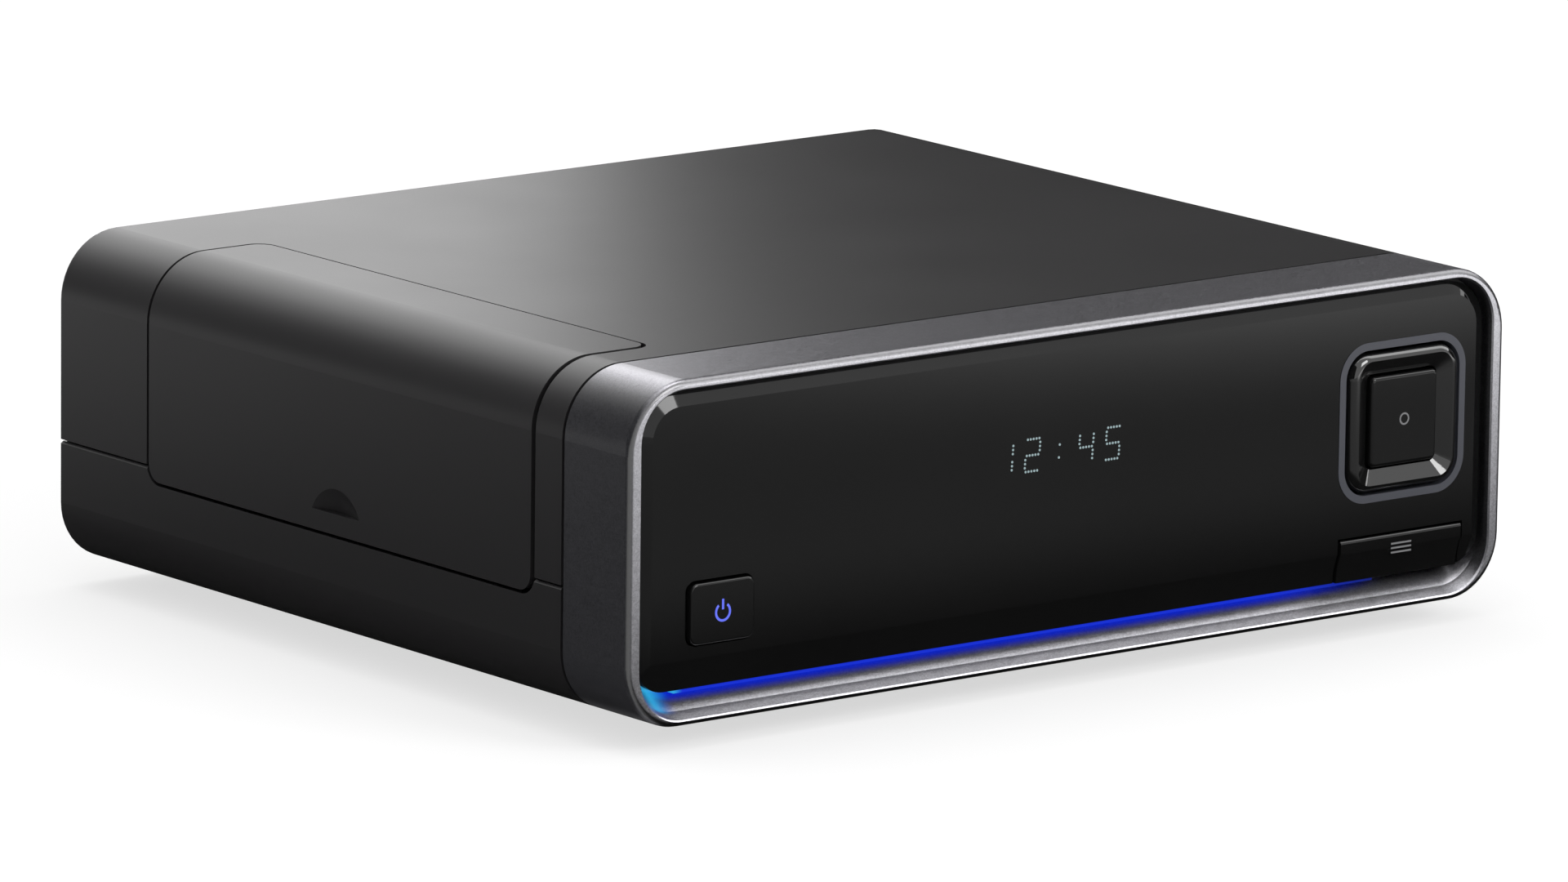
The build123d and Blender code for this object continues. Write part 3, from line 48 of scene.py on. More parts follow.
# %% [markdown]
# ## Units
# The player's sizes are known in millimetres, and Blender counts in metres. Scaling the whole
# scene would also scale its lamps, so a helper turns each length into metres where it is used.

# %% Units and the modules that the lesson uses
import json
import math

import bmesh
import bpy
from mathutils import Matrix, Vector

MM = 0.001


def mm(*values):
    """Lengths in millimetres, as Blender's metres."""
    return Vector([value * MM for value in values])


print("one millimetre is", MM, "of Blender's units")

# %% [markdown]
# ## Camera
# The photo was taken from the front left, a little above the player, with a long lens from
# about two metres. A long lens keeps the edges nearly parallel. The camera's axes come from
# three angles, so that the values stay readable, and a small shift places the player in the
# frame without turning the camera.

# %% Camera
VIEW_TURN = math.radians(-38.236)
VIEW_RISE = math.radians(11.821)
VIEW_ROLL = math.radians(0.712)
VIEW_PLACE = mm(-1258.9, -1592.6, 451.1)
VIEW_REACH = 20.0
LENS = 285.81
SENSOR = 36.0
SHIFT_X = 0.0155
SHIFT_Y = 0.0037


def camera_axes(turn, rise, roll):
    """Right, up and back of a camera that looks at the player from a turn and a rise."""
    level = math.cos(rise)
    back = Vector((math.sin(turn) * level, -math.cos(turn) * level, math.sin(rise)))
    right = Vector((math.cos(turn), math.sin(turn), 0.0))
    up = back.cross(right)
    rolled_right = math.cos(roll) * right + math.sin(roll) * up
    rolled_up = math.cos(roll) * up - math.sin(roll) * right
    return rolled_right, rolled_up, back


camera_data = bpy.data.cameras.new("camera")
camera_data.lens = LENS
camera_data.sensor_width = SENSOR
camera_data.shift_x = SHIFT_X
camera_data.shift_y = SHIFT_Y
camera_data.clip_end = VIEW_REACH
camera = bpy.data.objects.new("camera", camera_data)
bpy.context.scene.collection.objects.link(camera)
turned = Matrix(camera_axes(VIEW_TURN, VIEW_RISE, VIEW_ROLL)).transposed().to_4x4()
camera.matrix_world = Matrix.Translation(VIEW_PLACE) @ turned
bpy.context.scene.camera = camera
print("camera at", [round(c, 3) for c in camera.location])

# %% [markdown]
# ## Shader sums
# A finish is built from nodes. Writing `noise * 0.2 + 0.4` is easier to read than wiring a
# multiply node to an add node, so a small class wraps a socket and lets Python's operators
# add the Math nodes.

# %% Shader sums
class Wire:
    """A shader socket that can stand in Python sums."""

    def __init__(self, finish, socket):
        self.finish = finish
        self.socket = socket

    def maths(self, operation, first, second):
        """A Math node on two sockets or numbers."""
        return self.finish.node("ShaderNodeMath", {"operation": operation}, {0: first, 1: second})

    def __add__(self, other):
        return self.maths("ADD", self, other)

    def __sub__(self, other):
        return self.maths("SUBTRACT", self, other)

    def __mul__(self, other):
        return self.maths("MULTIPLY", self, other)

    def __truediv__(self, other):
        return self.maths("DIVIDE", self, other)

    def __radd__(self, other):
        return self.maths("ADD", other, self)

    def __rsub__(self, other):
        return self.maths("SUBTRACT", other, self)

    def __rmul__(self, other):
        return self.maths("MULTIPLY", other, self)

    def __rtruediv__(self, other):
        return self.maths("DIVIDE", other, self)

    def larger(self, other):
        """The larger of two values at each place."""
        return self.maths("MAXIMUM", self, other)


print("sums work on shader sockets")

# %% [markdown]
# ## Finishes
# Every node other than a sum comes from one method, which takes the node's type, its settings
# and its sockets. The methods after it are the few patterns that the player's finishes share:
# a place in millimetres, cloudy noise, a soft step, a blend of two colours and a fine relief.

# %% Finishes
GRAIN_DEPTH = 0.02 * MM


class Finish:
    """A material that is made node by node."""

    def __init__(self, name, holder=None):
        self.material = holder or bpy.data.materials.new(name)
        self.material.use_nodes = True
        self.tree = self.material.node_tree
        self.tree.nodes.clear()

    def node(self, kind, settings=None, sockets=None, output=0):
        """Adds a node: its settings first, then the values or links of its sockets."""
        made = self.tree.nodes.new(kind)
        for key, value in (settings or {}).items():
            setattr(made, key, value)
        for key, value in (sockets or {}).items():
            socket = made.inputs[key]
            if isinstance(value, Wire):
                self.tree.links.new(value.socket, socket)
            else:
                socket.default_value = value
        return Wire(self, made.outputs[output]) if made.outputs else None

    def place(self):
        """Object coordinates in millimetres."""
        where = self.node("ShaderNodeTexCoord", output=3)
        return self.node(
            "ShaderNodeVectorMath", {"operation": "SCALE"}, {0: where, "Scale": 1 / MM}
        )

    def axes(self, where):
        """The x, y and z of a place or a direction."""
        split = self.node("ShaderNodeSeparateXYZ", sockets={0: where})
        outputs = split.socket.node.outputs
        return [Wire(self, outputs[axis]) for axis in range(3)]

    def noise(self, where, grain, detail=2.0, seed=0.0):
        """Cloudy noise from 0 to 1 whose lumps are about grain millimetres across."""
        return self.node(
            "ShaderNodeTexNoise",
            {"noise_dimensions": "4D"},
            {"Vector": where, "W": seed, "Scale": 1 / grain, "Detail": detail},
        )

    def fade(self, value, start, end):
        """0 before start and 1 after end, with a soft step between them."""
        return self.node(
            "ShaderNodeMapRange",
            {"interpolation_type": "SMOOTHSTEP", "clamp": True},
            {"Value": value, "From Min": start, "From Max": end},
        )

    def mix(self, factor, first, second):
        """One colour turning into another."""
        return self.node(
            "ShaderNodeMix",
            {"data_type": "RGBA", "clamp_factor": True},
            {0: factor, 6: first, 7: second},
            output=2,
        )

    def relief(self, height, strength):
        """A relief as deep as the grain of paint or moulded plastic."""
        return self.node(
            "ShaderNodeBump",
            sockets={"Height": height, "Strength": strength, "Distance": GRAIN_DEPTH},
        )

    def shade(self, shader):
        """Ends a material with its shader."""
        self.node("ShaderNodeOutputMaterial", sockets={"Surface": shader})
        return self.material

    def surface(self, **sockets):
        """Ends a material with a Principled shader; a socket's name has _ for its spaces."""
        named = {key.replace("_", " "): value for key, value in sockets.items()}
        return self.shade(self.node("ShaderNodeBsdfPrincipled", sockets=named))


def grey(level):
    """A neutral colour."""
    return (level, level, level, 1.0)


print("a relief is", GRAIN_DEPTH / MM, "mm deep")

# %% [markdown]
# ## Case paint
# The two shells and the drive door are moulded plastic with a satin black paint. Seen close
# it has a fine grain, which spreads the light into a soft sheen. A flat dark colour would
# look like paper, so the grain is a relief of a quarter of a millimetre across, and the sheen
# changes a little from place to place.

# %% Case paint
PAINT_GRAIN = 0.22
PAINT_CLOUD = 30.0
PAINT_DARK = (0.0105, 0.0100, 0.0108, 1.0)
PAINT_LIGHT = (0.0175, 0.0165, 0.0175, 1.0)
PAINT_ROUGHNESS = 0.35
PAINT_RELIEF = 0.25


def case_paint():
    """Satin black with a fine grain and a slow change of sheen."""
    finish = Finish("case_paint")
    where = finish.place()
    grain = finish.noise(where, PAINT_GRAIN)
    cloud = finish.noise(where, PAINT_CLOUD, seed=3.0)
    return finish.surface(
        Base_Color=finish.mix(grain, PAINT_DARK, PAINT_LIGHT),
        Roughness=PAINT_ROUGHNESS + cloud * 0.05 + grain * 0.04,
        Specular_IOR_Level=0.5,
        Normal=finish.relief(grain, PAINT_RELIEF),
    )


CASE_PAINT = case_paint()
print("made", CASE_PAINT.name)

# %% [markdown]
# ## Painted blue glow in the scoop
# A light guide behind the panel's lower edge lights the scoop in the bezel below it. The real
# light is weak and reaches only the scoop, while a lamp here would also tint the floor. So
# the glow is painted light in the bezel's finish: blue under the guide, and nearly cyan in the
# left corner, where the guide's own lamp sits. Soft steps over depth, height and length keep it
# inside the scoop.

# %% Blue glow in the scoop
bezel_low, bezel_high = (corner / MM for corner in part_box("front_bezel"))
guide_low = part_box("light_guide")[0] / MM
GLOW_BLUE = (0.004, 0.025, 0.8, 1.0)
GLOW_CYAN = (0.04, 0.55, 1.0, 1.0)
GLOW_STRENGTH = 0.7
GLOW_FROM, GLOW_TO = (1.2, 2.4), (7.0, 6.0)  # depths behind the rim between which it lies
GLOW_BELOW, GLOW_ABOVE = (6.9, 8.4), (12.0, 10.5)  # heights between which it lies
GLOW_LEFT, GLOW_RIGHT = (guide_low.x - 6.0, guide_low.x - 3.0), (70.0, 44.0)
CORNER_RIGHT, CORNER_ABOVE = (guide_low.x + 1.0, guide_low.x - 4.0), (13.5, 10.5)
CORNER_BELOW = (4.8, 6.5)


def scoop_glow(finish, place, outward):
    """How much of the painted glow a place has, and how near it is to the cyan corner."""
    x, y, z = place
    depth = y - bezel_low.y
    inside = finish.fade(depth, *GLOW_FROM) * finish.fade(depth, *GLOW_TO) * (1.0 - outward)
    upper = finish.fade(z, *GLOW_BELOW) * finish.fade(z, *GLOW_ABOVE)
    along = finish.fade(x, *GLOW_LEFT) * finish.fade(x, *GLOW_RIGHT)
    corner = finish.fade(x, *CORNER_RIGHT) * finish.fade(z, *CORNER_ABOVE)
    low_corner = corner * finish.fade(z, *CORNER_BELOW)
    return inside * (upper * along).larger(low_corner * along), corner


print("glow from x", round(guide_low.x, 1), "to", GLOW_RIGHT[0])

# %% [markdown]
# ## Bezel metallic
# The front frame is sprayed with a metallic paint: fine silver flakes in a grey lacquer. The
# flakes are small cells whose brightness differs. The rim and the scoop are bright and the top
# is darker. The left side is painted nearly as black as the case, as painted shade, and the
# rounded edges are painted a darker grey, as painted shade that tones down their highlight.
# Cutting the frame up for three materials would show seams, so one material looks at which way
# a face points.

# %% Bezel metallic
FLAKE_SIZE = 0.2
FLAKE_CLOUD = 0.9
RIM_SILVER = (0.43, 0.425, 0.455, 1.0), (0.72, 0.715, 0.755, 1.0)
TOP_GREY = (0.24, 0.235, 0.255, 1.0), (0.43, 0.425, 0.455, 1.0)
# Painted shade: near black for the faces that point left.
LEFT_SHADE_BLACK = (0.012, 0.012, 0.014, 1.0), (0.030, 0.030, 0.034, 1.0)
# Painted shade: a darker grey for the rounded edges, which tones down their highlight.
EDGE_SHADE_GREY = grey(0.10)
EDGE_SHADE_SHARE = 0.75
# Painted shade: dark blue-grey under the glow in the scoop.
GLOW_SHADE = (0.02, 0.02, 0.06, 1.0)
GLOW_SHADE_SHARE = 0.85
OUTWARD = (0.1, 0.6)  # how far a face turns away from the frame's middle
EDGE_FRONT, EDGE_SIDE = (0.12, 0.4), (0.97, 0.8)
SHADED_LEFT = (0.15, 0.75)


def bezel_metallic():
    """Silver in front, grey on top, painted shade on the left and edges, and painted blue glow.
    """
    finish = Finish("bezel_metallic")
    where = finish.place()
    x, y, z = finish.axes(where)
    cells = {"Vector": where, "Scale": 1 / FLAKE_SIZE}
    flake = finish.axes(finish.node("ShaderNodeTexVoronoi", sockets=cells, output=1))[0]
    shade = flake * 0.6 + finish.noise(where, FLAKE_CLOUD, seed=5.0) * 0.4

    facing = finish.axes(finish.node("ShaderNodeTexCoord", output=1))
    across = x / bezel_high.x
    rise = (z - (bezel_low.z + bezel_high.z) / 2) / ((bezel_high.z - bezel_low.z) / 2)
    away = facing[0] * across + facing[2] * rise
    outward = finish.fade(away, *OUTWARD)
    edge = finish.fade(away, *EDGE_FRONT) * finish.fade(away, *EDGE_SIDE)
    # Faces that point left are painted near black and not metallic, as painted shade.
    shaded_left = finish.fade(0.0 - facing[0], *SHADED_LEFT) * outward

    silver = finish.mix(shade, *RIM_SILVER)
    top = finish.mix(shade, *TOP_GREY)
    left_shade = finish.mix(shade, *LEFT_SHADE_BLACK)
    tint = finish.mix(shaded_left, finish.mix(outward, silver, top), left_shade)
    # Rounded edges are painted a darker grey, as painted shade that tones down the edge card's
    # highlight.
    tint = finish.mix(edge * EDGE_SHADE_SHARE, tint, EDGE_SHADE_GREY)
    glow, corner = scoop_glow(finish, (x, y, z), outward)
    return finish.surface(
        # Under the glow the base colour is painted dark blue-grey, as painted shade in the scoop.
        Base_Color=finish.mix(glow * GLOW_SHADE_SHARE, tint, GLOW_SHADE),
        Metallic=1.0 - shaded_left,
        Roughness=0.29 + flake * 0.08,
        # The glow is painted light that the bezel itself gives off.
        Emission_Color=finish.mix(glow, grey(0.0), finish.mix(corner, GLOW_BLUE, GLOW_CYAN)),
        Emission_Strength=GLOW_STRENGTH,
        Normal=finish.relief(flake, 0.12),
    )


BEZEL_METALLIC = bezel_metallic()
print("made", BEZEL_METALLIC.name)

# %% [markdown]
# ## Gloss black
# The front panel and the keys are polished black acrylic. The colour is nearly nothing: what
# shows is the reflection, so the roughness is low and varies only by faint smears. The
# direction key's rounded edges catch more light than the flat panel does. A lamp of its own
# would show on the panel too, so the key has the same finish with a stronger reflection.

# %% Gloss black
SMEAR_SIZE = 25.0
PANEL_SHINE = 0.42
KEY_SHINE = 0.95


def gloss_black(name, shine):
    """Polished black acrylic."""
    finish = Finish(name)
    smear = finish.noise(finish.place(), SMEAR_SIZE, seed=8.0)
    return finish.surface(
        Base_Color=finish.mix(smear, grey(0.0028), grey(0.0042)),
        Roughness=0.05 + smear * 0.04,
        Specular_IOR_Level=shine,
    )


GLOSS_BLACK = gloss_black("gloss_black", PANEL_SHINE)
KEY_GLOSS = gloss_black("key_gloss", KEY_SHINE)
print("made", GLOSS_BLACK.name, "and", KEY_GLOSS.name)

# %% [markdown]
# ## Light strip
# The light guide itself is a thin line of blue at the panel's lower edge, with its lamp at
# the left. A clear material round a lamp would need long renders to be free of specks, so
# the guide gives its own light: palest at its left end, and dying away towards the right.

# %% Light strip
STRIP_END = (76.0, 40.0)
STRIP_CORNER = (guide_low.x + 2.0, guide_low.x - 0.5)
STRIP_OFF = (0.002, 0.004, 0.03, 1.0)


def light_strip():
    """Blue that gives its own light along the guide."""
    finish = Finish("light")
    x = finish.axes(finish.place())[0]
    colour = finish.mix(finish.fade(x, *STRIP_CORNER), GLOW_BLUE, GLOW_CYAN)
    return finish.surface(
        Base_Color=(0.004, 0.012, 0.08, 1.0),
        Roughness=0.2,
        Emission_Color=finish.mix(finish.fade(x, *STRIP_END), STRIP_OFF, colour),
        Emission_Strength=GLOW_STRENGTH,
    )


LIGHT_STRIP = light_strip()
print("made", LIGHT_STRIP.name)

# %% [markdown]
# ## Plain finishes of the smaller pieces
# Moulded plastic, sheet steel, cast metal, rubber and circuit board differ in colour, gloss
# and grain. One function makes them all from a few values, with a grain that shows close up.

# %% Plain finishes
CLOUD_OF_GRAIN = 40


def plain_finish(name, dark, light, grain, roughness, metallic=0.0, relief=0.1):
    """A finish that varies between two colours over a grain in millimetres."""
    finish = Finish(name)
    where = finish.place()
    fine = finish.noise(where, grain)
    cloud = finish.noise(where, grain * CLOUD_OF_GRAIN, seed=2.0)
    return finish.surface(
        Base_Color=finish.mix(fine * 0.6 + cloud * 0.4, (*dark, 1.0), (*light, 1.0)),
        Metallic=metallic,
        Roughness=roughness + fine * 0.08 - 0.04,
        Normal=finish.relief(fine, relief),
    )


PLAIN = {  # darkest and lightest colour, grain, roughness, metallic and relief
    "trim_grey": ((0.035, 0.037, 0.047), (0.048, 0.05, 0.062), 0.2, 0.42),
    "black_plastic": ((0.010, 0.010, 0.011), (0.020, 0.020, 0.021), 0.25, 0.5),
    "foot_rubber": ((0.012, 0.012, 0.012), (0.024, 0.024, 0.024), 0.3, 0.75),
    "sheet_steel": ((0.42, 0.43, 0.44), (0.56, 0.57, 0.58), 0.5, 0.34, 1.0, 0.05),
    "screw_steel": ((0.30, 0.30, 0.31), (0.42, 0.42, 0.43), 0.3, 0.32, 1.0, 0.05),
    "cast_aluminium": ((0.30, 0.31, 0.32), (0.42, 0.43, 0.44), 0.35, 0.5, 1.0, 0.25),
    "drive_lid_steel": ((0.55, 0.56, 0.57), (0.64, 0.65, 0.66), 0.4, 0.3, 1.0, 0.05),
    "circuit_board": ((0.006, 0.05, 0.022), (0.010, 0.075, 0.034), 0.6, 0.35),
}
FINISHES = {slot: plain_finish(slot, *values) for slot, values in PLAIN.items()}
print("made", len(FINISHES), "plain finishes")

# %% [markdown]
# ## Finishes onto the player's pieces
# The record says which slot each piece takes, so a table from slot to finish dresses all of
# the pieces in one loop. The light guide and its lamp are kept from lighting or showing in
# other surfaces, because the bezel's finish already has their glow.

# %% Dress the pieces
FINISHES["case_paint"] = CASE_PAINT
FINISHES["bezel_metallic"] = BEZEL_METALLIC
FINISHES["gloss_black"] = GLOSS_BLACK
FINISHES["light"] = LIGHT_STRIP


def dress(piece, finish):
    """Gives a piece one finish all over."""
    piece.data.materials.clear()
    piece.data.materials.append(finish)


for part in frame["record"]["subparts"]:
    dress(nodes[part["node"]], FINISHES[part["material_slot"]])
dress(nodes["nav_ring"], KEY_GLOSS)
for name in ("light_guide", "light_source"):
    nodes[name].visible_diffuse = False
    nodes[name].visible_glossy = False

# %% [markdown]
# ## Marks that lie on a face
# A printed or glowing mark is a film a few hundredths of a millimetre thick. Painting it in
# the key's material would be possible, but a thin piece keeps its edge sharp at any distance.
# Each is drawn flat in x and z, in millimetres, from bars, dots and spun arcs.

# %% Drawing marks
UPRIGHT = Matrix.Rotation(math.radians(90), 4, "X")
DOT_SIDES = 10
ARC_STEPS = 32
FULL_TURN = 360.0


def draw_dot(film, x, z, radius):
    """A round dot."""
    spot = Matrix.Translation((x, 0, z)) @ UPRIGHT
    bmesh.ops.create_circle(film, cap_ends=True, segments=DOT_SIDES, radius=radius, matrix=spot)


def draw_bar(film, x, z, width, height):
    """A straight bar."""
    spot = Matrix.Translation((x, 0, z)) @ UPRIGHT @ Matrix.Diagonal((width, height, 1, 1))
    bmesh.ops.create_grid(film, x_segments=1, y_segments=1, size=0.5, matrix=spot)


def draw_arc(film, x, z, inner, outer, start=0.0, sweep=FULL_TURN):
    """A band along an arc, which starts at an angle from straight up."""
    turn = Matrix.Rotation(math.radians(start), 3, "Y")
    middle = Vector((x, 0, z))
    ends = [film.verts.new(middle + turn @ Vector((0, 0, radius))) for radius in (inner, outer)]
    edge = film.edges.new(ends)
    bmesh.ops.spin(
        film, geom=[*ends, edge], cent=middle, axis=(0, 1, 0), angle=math.radians(sweep),
        steps=ARC_STEPS, use_merge=sweep == FULL_TURN,
    )


print("dots, bars and arcs can be drawn")

# %% [markdown]
# ## From a drawing to a piece
# Extruding the drawing gives the film its thickness and closes it all round. A Solidify
# modifier could do that too, but the extrusion leaves nothing to apply. The piece then rides
# on the body that carries it, so a key's mark moves when the key is pressed.

# %% From a drawing to a piece
FILM = 0.04
PATCH_SIZE = 0.8


def film_piece(name, film, face_y, proud, body, finish):
    """Gives a drawing its thickness and makes it a piece on a face at y."""
    drawn = bmesh.ops.extrude_face_region(film, geom=film.faces[:])["geom"]
    front = [item for item in drawn if isinstance(item, bmesh.types.BMVert)]
    bmesh.ops.translate(film, verts=front, vec=(0, proud, 0))
    bmesh.ops.recalc_face_normals(film, faces=film.faces[:])
    bmesh.ops.translate(film, verts=film.verts[:], vec=(0, face_y, 0))
    bmesh.ops.scale(film, verts=film.verts[:], vec=(MM, MM, MM))
    mesh = bpy.data.meshes.new(name)
    film.to_mesh(mesh)
    film.free()
    piece = bpy.data.objects.new(name, mesh)
    bpy.context.scene.collection.objects.link(piece)
    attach(piece, body)
    dress(piece, finish)
    print("made", name, len(mesh.polygons), "faces")


def glowing(name, bright, dim):
    """A finish that gives its own light, a little uneven as a diffuser is."""
    finish = Finish(name)
    patch = finish.noise(finish.place(), PATCH_SIZE)
    return finish.surface(
        Base_Color=finish.mix(patch, grey(0.02), grey(0.04)),
        Roughness=0.3,
        Emission_Color=finish.mix(patch, (*dim, 1.0), (*bright, 1.0)),
        Emission_Strength=1.0,
    )


print("a film is", FILM, "mm thick")

# %% [markdown]
# ## Display
# The display shows the time in small dots that shine through the dark panel. A panel that
# really lets them through would have to be see-through, and would show the parts behind it
# too. So the dots are a film on the panel's face. Each figure takes some of seven strokes,
# and a stroke is a row of dots: five across or three down. The figures lean a little, as
# they do on such displays.

# %% Strokes of the figures
ACROSS = range(-2, 3)
DOWN = (1, 2, 3)
SIDE = 2.4
STROKES = {
    "top": [(column, 4) for column in ACROSS],
    "middle": [(column, 0) for column in ACROSS],
    "bottom": [(column, -4) for column in ACROSS],
    "upper_left": [(-SIDE, row) for row in DOWN],
    "upper_right": [(SIDE, row) for row in DOWN],
    "lower_left": [(-SIDE, -row) for row in DOWN],
    "lower_right": [(SIDE, -row) for row in DOWN],
    "colon": [(0, 1.6), (0, -1.6)],
}
FIGURES = [
    ["upper_right", "lower_right"],
    ["top", "upper_right", "middle", "lower_left", "bottom"],
    ["colon"],
    ["upper_left", "upper_right", "middle", "lower_right"],
    ["top", "upper_left", "middle", "lower_right", "bottom"],
]
print(len(FIGURES), "figures from", len(STROKES), "strokes")

# %% Display dots
DOT_ACROSS = 0.6
DOT_DOWN = 0.66
DOT_RADIUS = 0.21
FIGURE_PITCH = 5.6
FIGURE_LEAN = 0.07
DISPLAY_X, DISPLAY_Z = -3.1, 39.2
DISPLAY_GLOW = glowing("display_glow", (0.30, 0.41, 0.43), (0.22, 0.31, 0.33))

panel_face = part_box("front_panel")[0].y / MM
film = bmesh.new()
for number, strokes in enumerate(FIGURES):
    middle = DISPLAY_X + (number - 2) * FIGURE_PITCH
    for column, row in [dot for stroke in strokes for dot in STROKES[stroke]]:
        rise = row * DOT_DOWN
        x = middle + column * DOT_ACROSS + rise * FIGURE_LEAN
        draw_dot(film, x, DISPLAY_Z + rise, DOT_RADIUS)
film_piece("display_dots", film, panel_face, -FILM, "case", DISPLAY_GLOW)

# %% [markdown]
# ## Marks on the keys
# The power key glows with a broken ring and a bar. The centre key has a small ring and the
# wide key has three short bars, both printed in grey. Text objects could draw such marks,
# but plain rings and bars need no font and stay closed pieces.

# %% Marks on the keys
POWER_GLOW = glowing("power_glow", (0.13, 0.18, 1.0), (0.07, 0.10, 0.8))
PRINT_GREY = plain_finish("print_grey", (0.11, 0.11, 0.115), (0.16, 0.16, 0.165), 0.15, 0.5)
POWER_RING = (1.2, 1.6)
POWER_GAP = 38.0  # degrees to each side of straight up
CENTRE_RING = (0.75, 1.05)
MENU_Z = 14.3
MENU_PITCH = 0.75
MENU_BAR = (4.4, 0.3)


def key_middle(node):
    """The middle of a key's face, and the face's y."""
    low, high = (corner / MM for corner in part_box(node))
    return (low.x + high.x) / 2, (low.z + high.z) / 2, low.y


x, z, face = key_middle("power_button")
film = bmesh.new()
draw_arc(film, x, z - 0.1, *POWER_RING, start=POWER_GAP, sweep=FULL_TURN - 2 * POWER_GAP)
draw_bar(film, x, z + 1.15, 0.42, 1.7)
film_piece("power_mark", film, face, -FILM, "power_button", POWER_GLOW)

x, z, face = key_middle("ok_button")
film = bmesh.new()
draw_arc(film, x, z, *CENTRE_RING)
film_piece("centre_mark", film, face, -FILM, "ok_button", PRINT_GREY)

x, z, face = key_middle("option_key")
film = bmesh.new()
for line in (-1, 0, 1):
    draw_bar(film, x, MENU_Z + line * MENU_PITCH, *MENU_BAR)
film_piece("option_mark", film, face, -FILM, "option_key", PRINT_GREY)

# %% [markdown]
# ## Rings in the phono jacks
# At the back each phono jack has a coloured plastic ring between its sleeve and its hole, so
# that a plug of the same colour finds it: three for component picture, and the yellow,
# white and red of plain picture and stereo sound. The six jacks are one piece with one
# finish, so each colour is a thin piece of its own, and the two red rings share one.

# %% Jack rings
JACK_X = (-75.5, -61.5, -47.5)
JACK_HIGH, JACK_LOW = 31.1, 17.1
JACK_RING = (1.7, 3.45)
JACK_PROUD = 0.3
JACK_DEEPER = 0.8
JACK_COLOURS = {
    "green": ((0.01, 0.22, 0.03), [(JACK_X[0], JACK_HIGH)]),
    "blue": ((0.01, 0.04, 0.36), [(JACK_X[1], JACK_HIGH)]),
    "red": ((0.42, 0.008, 0.006), [(JACK_X[2], JACK_HIGH), (JACK_X[2], JACK_LOW)]),
    "yellow": ((0.75, 0.42, 0.01), [(JACK_X[0], JACK_LOW)]),
    "white": ((0.72, 0.72, 0.70), [(JACK_X[1], JACK_LOW)]),
}
jack_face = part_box("av_jacks")[1].y / MM
for colour_name, (colour, places) in JACK_COLOURS.items():
    film = bmesh.new()
    for x, z in places:
        draw_arc(film, x, z, *JACK_RING)
    deep = tuple(value * JACK_DEEPER for value in colour)
    finish = plain_finish("jack_" + colour_name, deep, colour, 0.3, 0.4)
    name = "jack_ring_" + colour_name
    film_piece(name, film, jack_face, JACK_PROUD, "case", finish)

# %% [markdown]
# ## Floor
# The player stands on a plain pale floor. In the photo it is quite white. More light would
# also lighten the player, so part of the floor's look to the camera, to polished surfaces and
# to glass is plain white, and the rest still takes the player's shadow.

# %% Floor
WHITE_SHARE = 0.65
FLOOR_GREY = 0.9
FLOOR_HALF = 6


def plain_sheet(name, corners):
    """A flat sheet from its four corners, in metres."""
    mesh = bpy.data.meshes.new(name)
    build = bmesh.new()
    build.faces.new([build.verts.new(corner) for corner in corners])
    build.to_mesh(mesh)
    build.free()
    sheet = bpy.data.objects.new(name, mesh)
    bpy.context.scene.collection.objects.link(sheet)
    return sheet


def lying(name, left, front, right, back, height):
    """A sheet that lies level."""
    corners = (left, front), (right, front), (right, back), (left, back)
    return plain_sheet(name, [(x, y, height) for x, y in corners])


def seen_rays(finish):
    """1 where the camera, a polished surface or glass looks, and 0 for light on the object."""
    rays = finish.node("ShaderNodeLightPath").socket.node.outputs
    camera_ray = Wire(finish, rays["Is Camera Ray"])
    glossy_ray = Wire(finish, rays["Is Glossy Ray"])
    glass_ray = Wire(finish, rays["Is Transmission Ray"])
    return camera_ray + glossy_ray + glass_ray


def floor_finish():
    """Dull pale grey that looks whiter to the camera than it lights the player."""
    finish = Finish("floor")
    dull = {"Base Color": grey(FLOOR_GREY), "Roughness": 0.9, "Specular IOR Level": 0.0}
    lit = finish.node("ShaderNodeBsdfPrincipled", sockets=dull)
    white = finish.node("ShaderNodeEmission", sockets={"Color": grey(1.0), "Strength": 1.0})
    share = seen_rays(finish) * WHITE_SHARE
    return finish.shade(finish.node("ShaderNodeMixShader", sockets={0: share, 1: lit, 2: white}))


floor = lying("floor", -FLOOR_HALF, -FLOOR_HALF, FLOOR_HALF, FLOOR_HALF, 0)
dress(floor, floor_finish())
print("floor laid")

# %% [markdown]
# ## Mat
# The dark gloss panel mirrors what lies in front of the player. In the photo it is darkest at
# its lower edge and a little lighter at its upper right, so what it mirrors is dark near the
# player and brighter further out. Shading the panel itself would be wrong from any other
# side, so a mat that only reflections see has that gradient.

# %% Mat
MAT_TOP = 0.0004
MAT_LEAST = 0.015
MAT_WHITE = 2.4
FRONT_Y = -78.0
NEAR, NEAR_LEVEL = (35.0, 105.0), 0.27
FAR, FAR_LEVEL = (140.0, 300.0), 0.15
FAR_RIGHT, FAR_RIGHT_LEVEL = (40.0, 260.0), 2.0
BEHIND, BEHIND_LEFT, BEHIND_LEVEL = (70.0, 420.0), (60.0, -60.0), 0.9


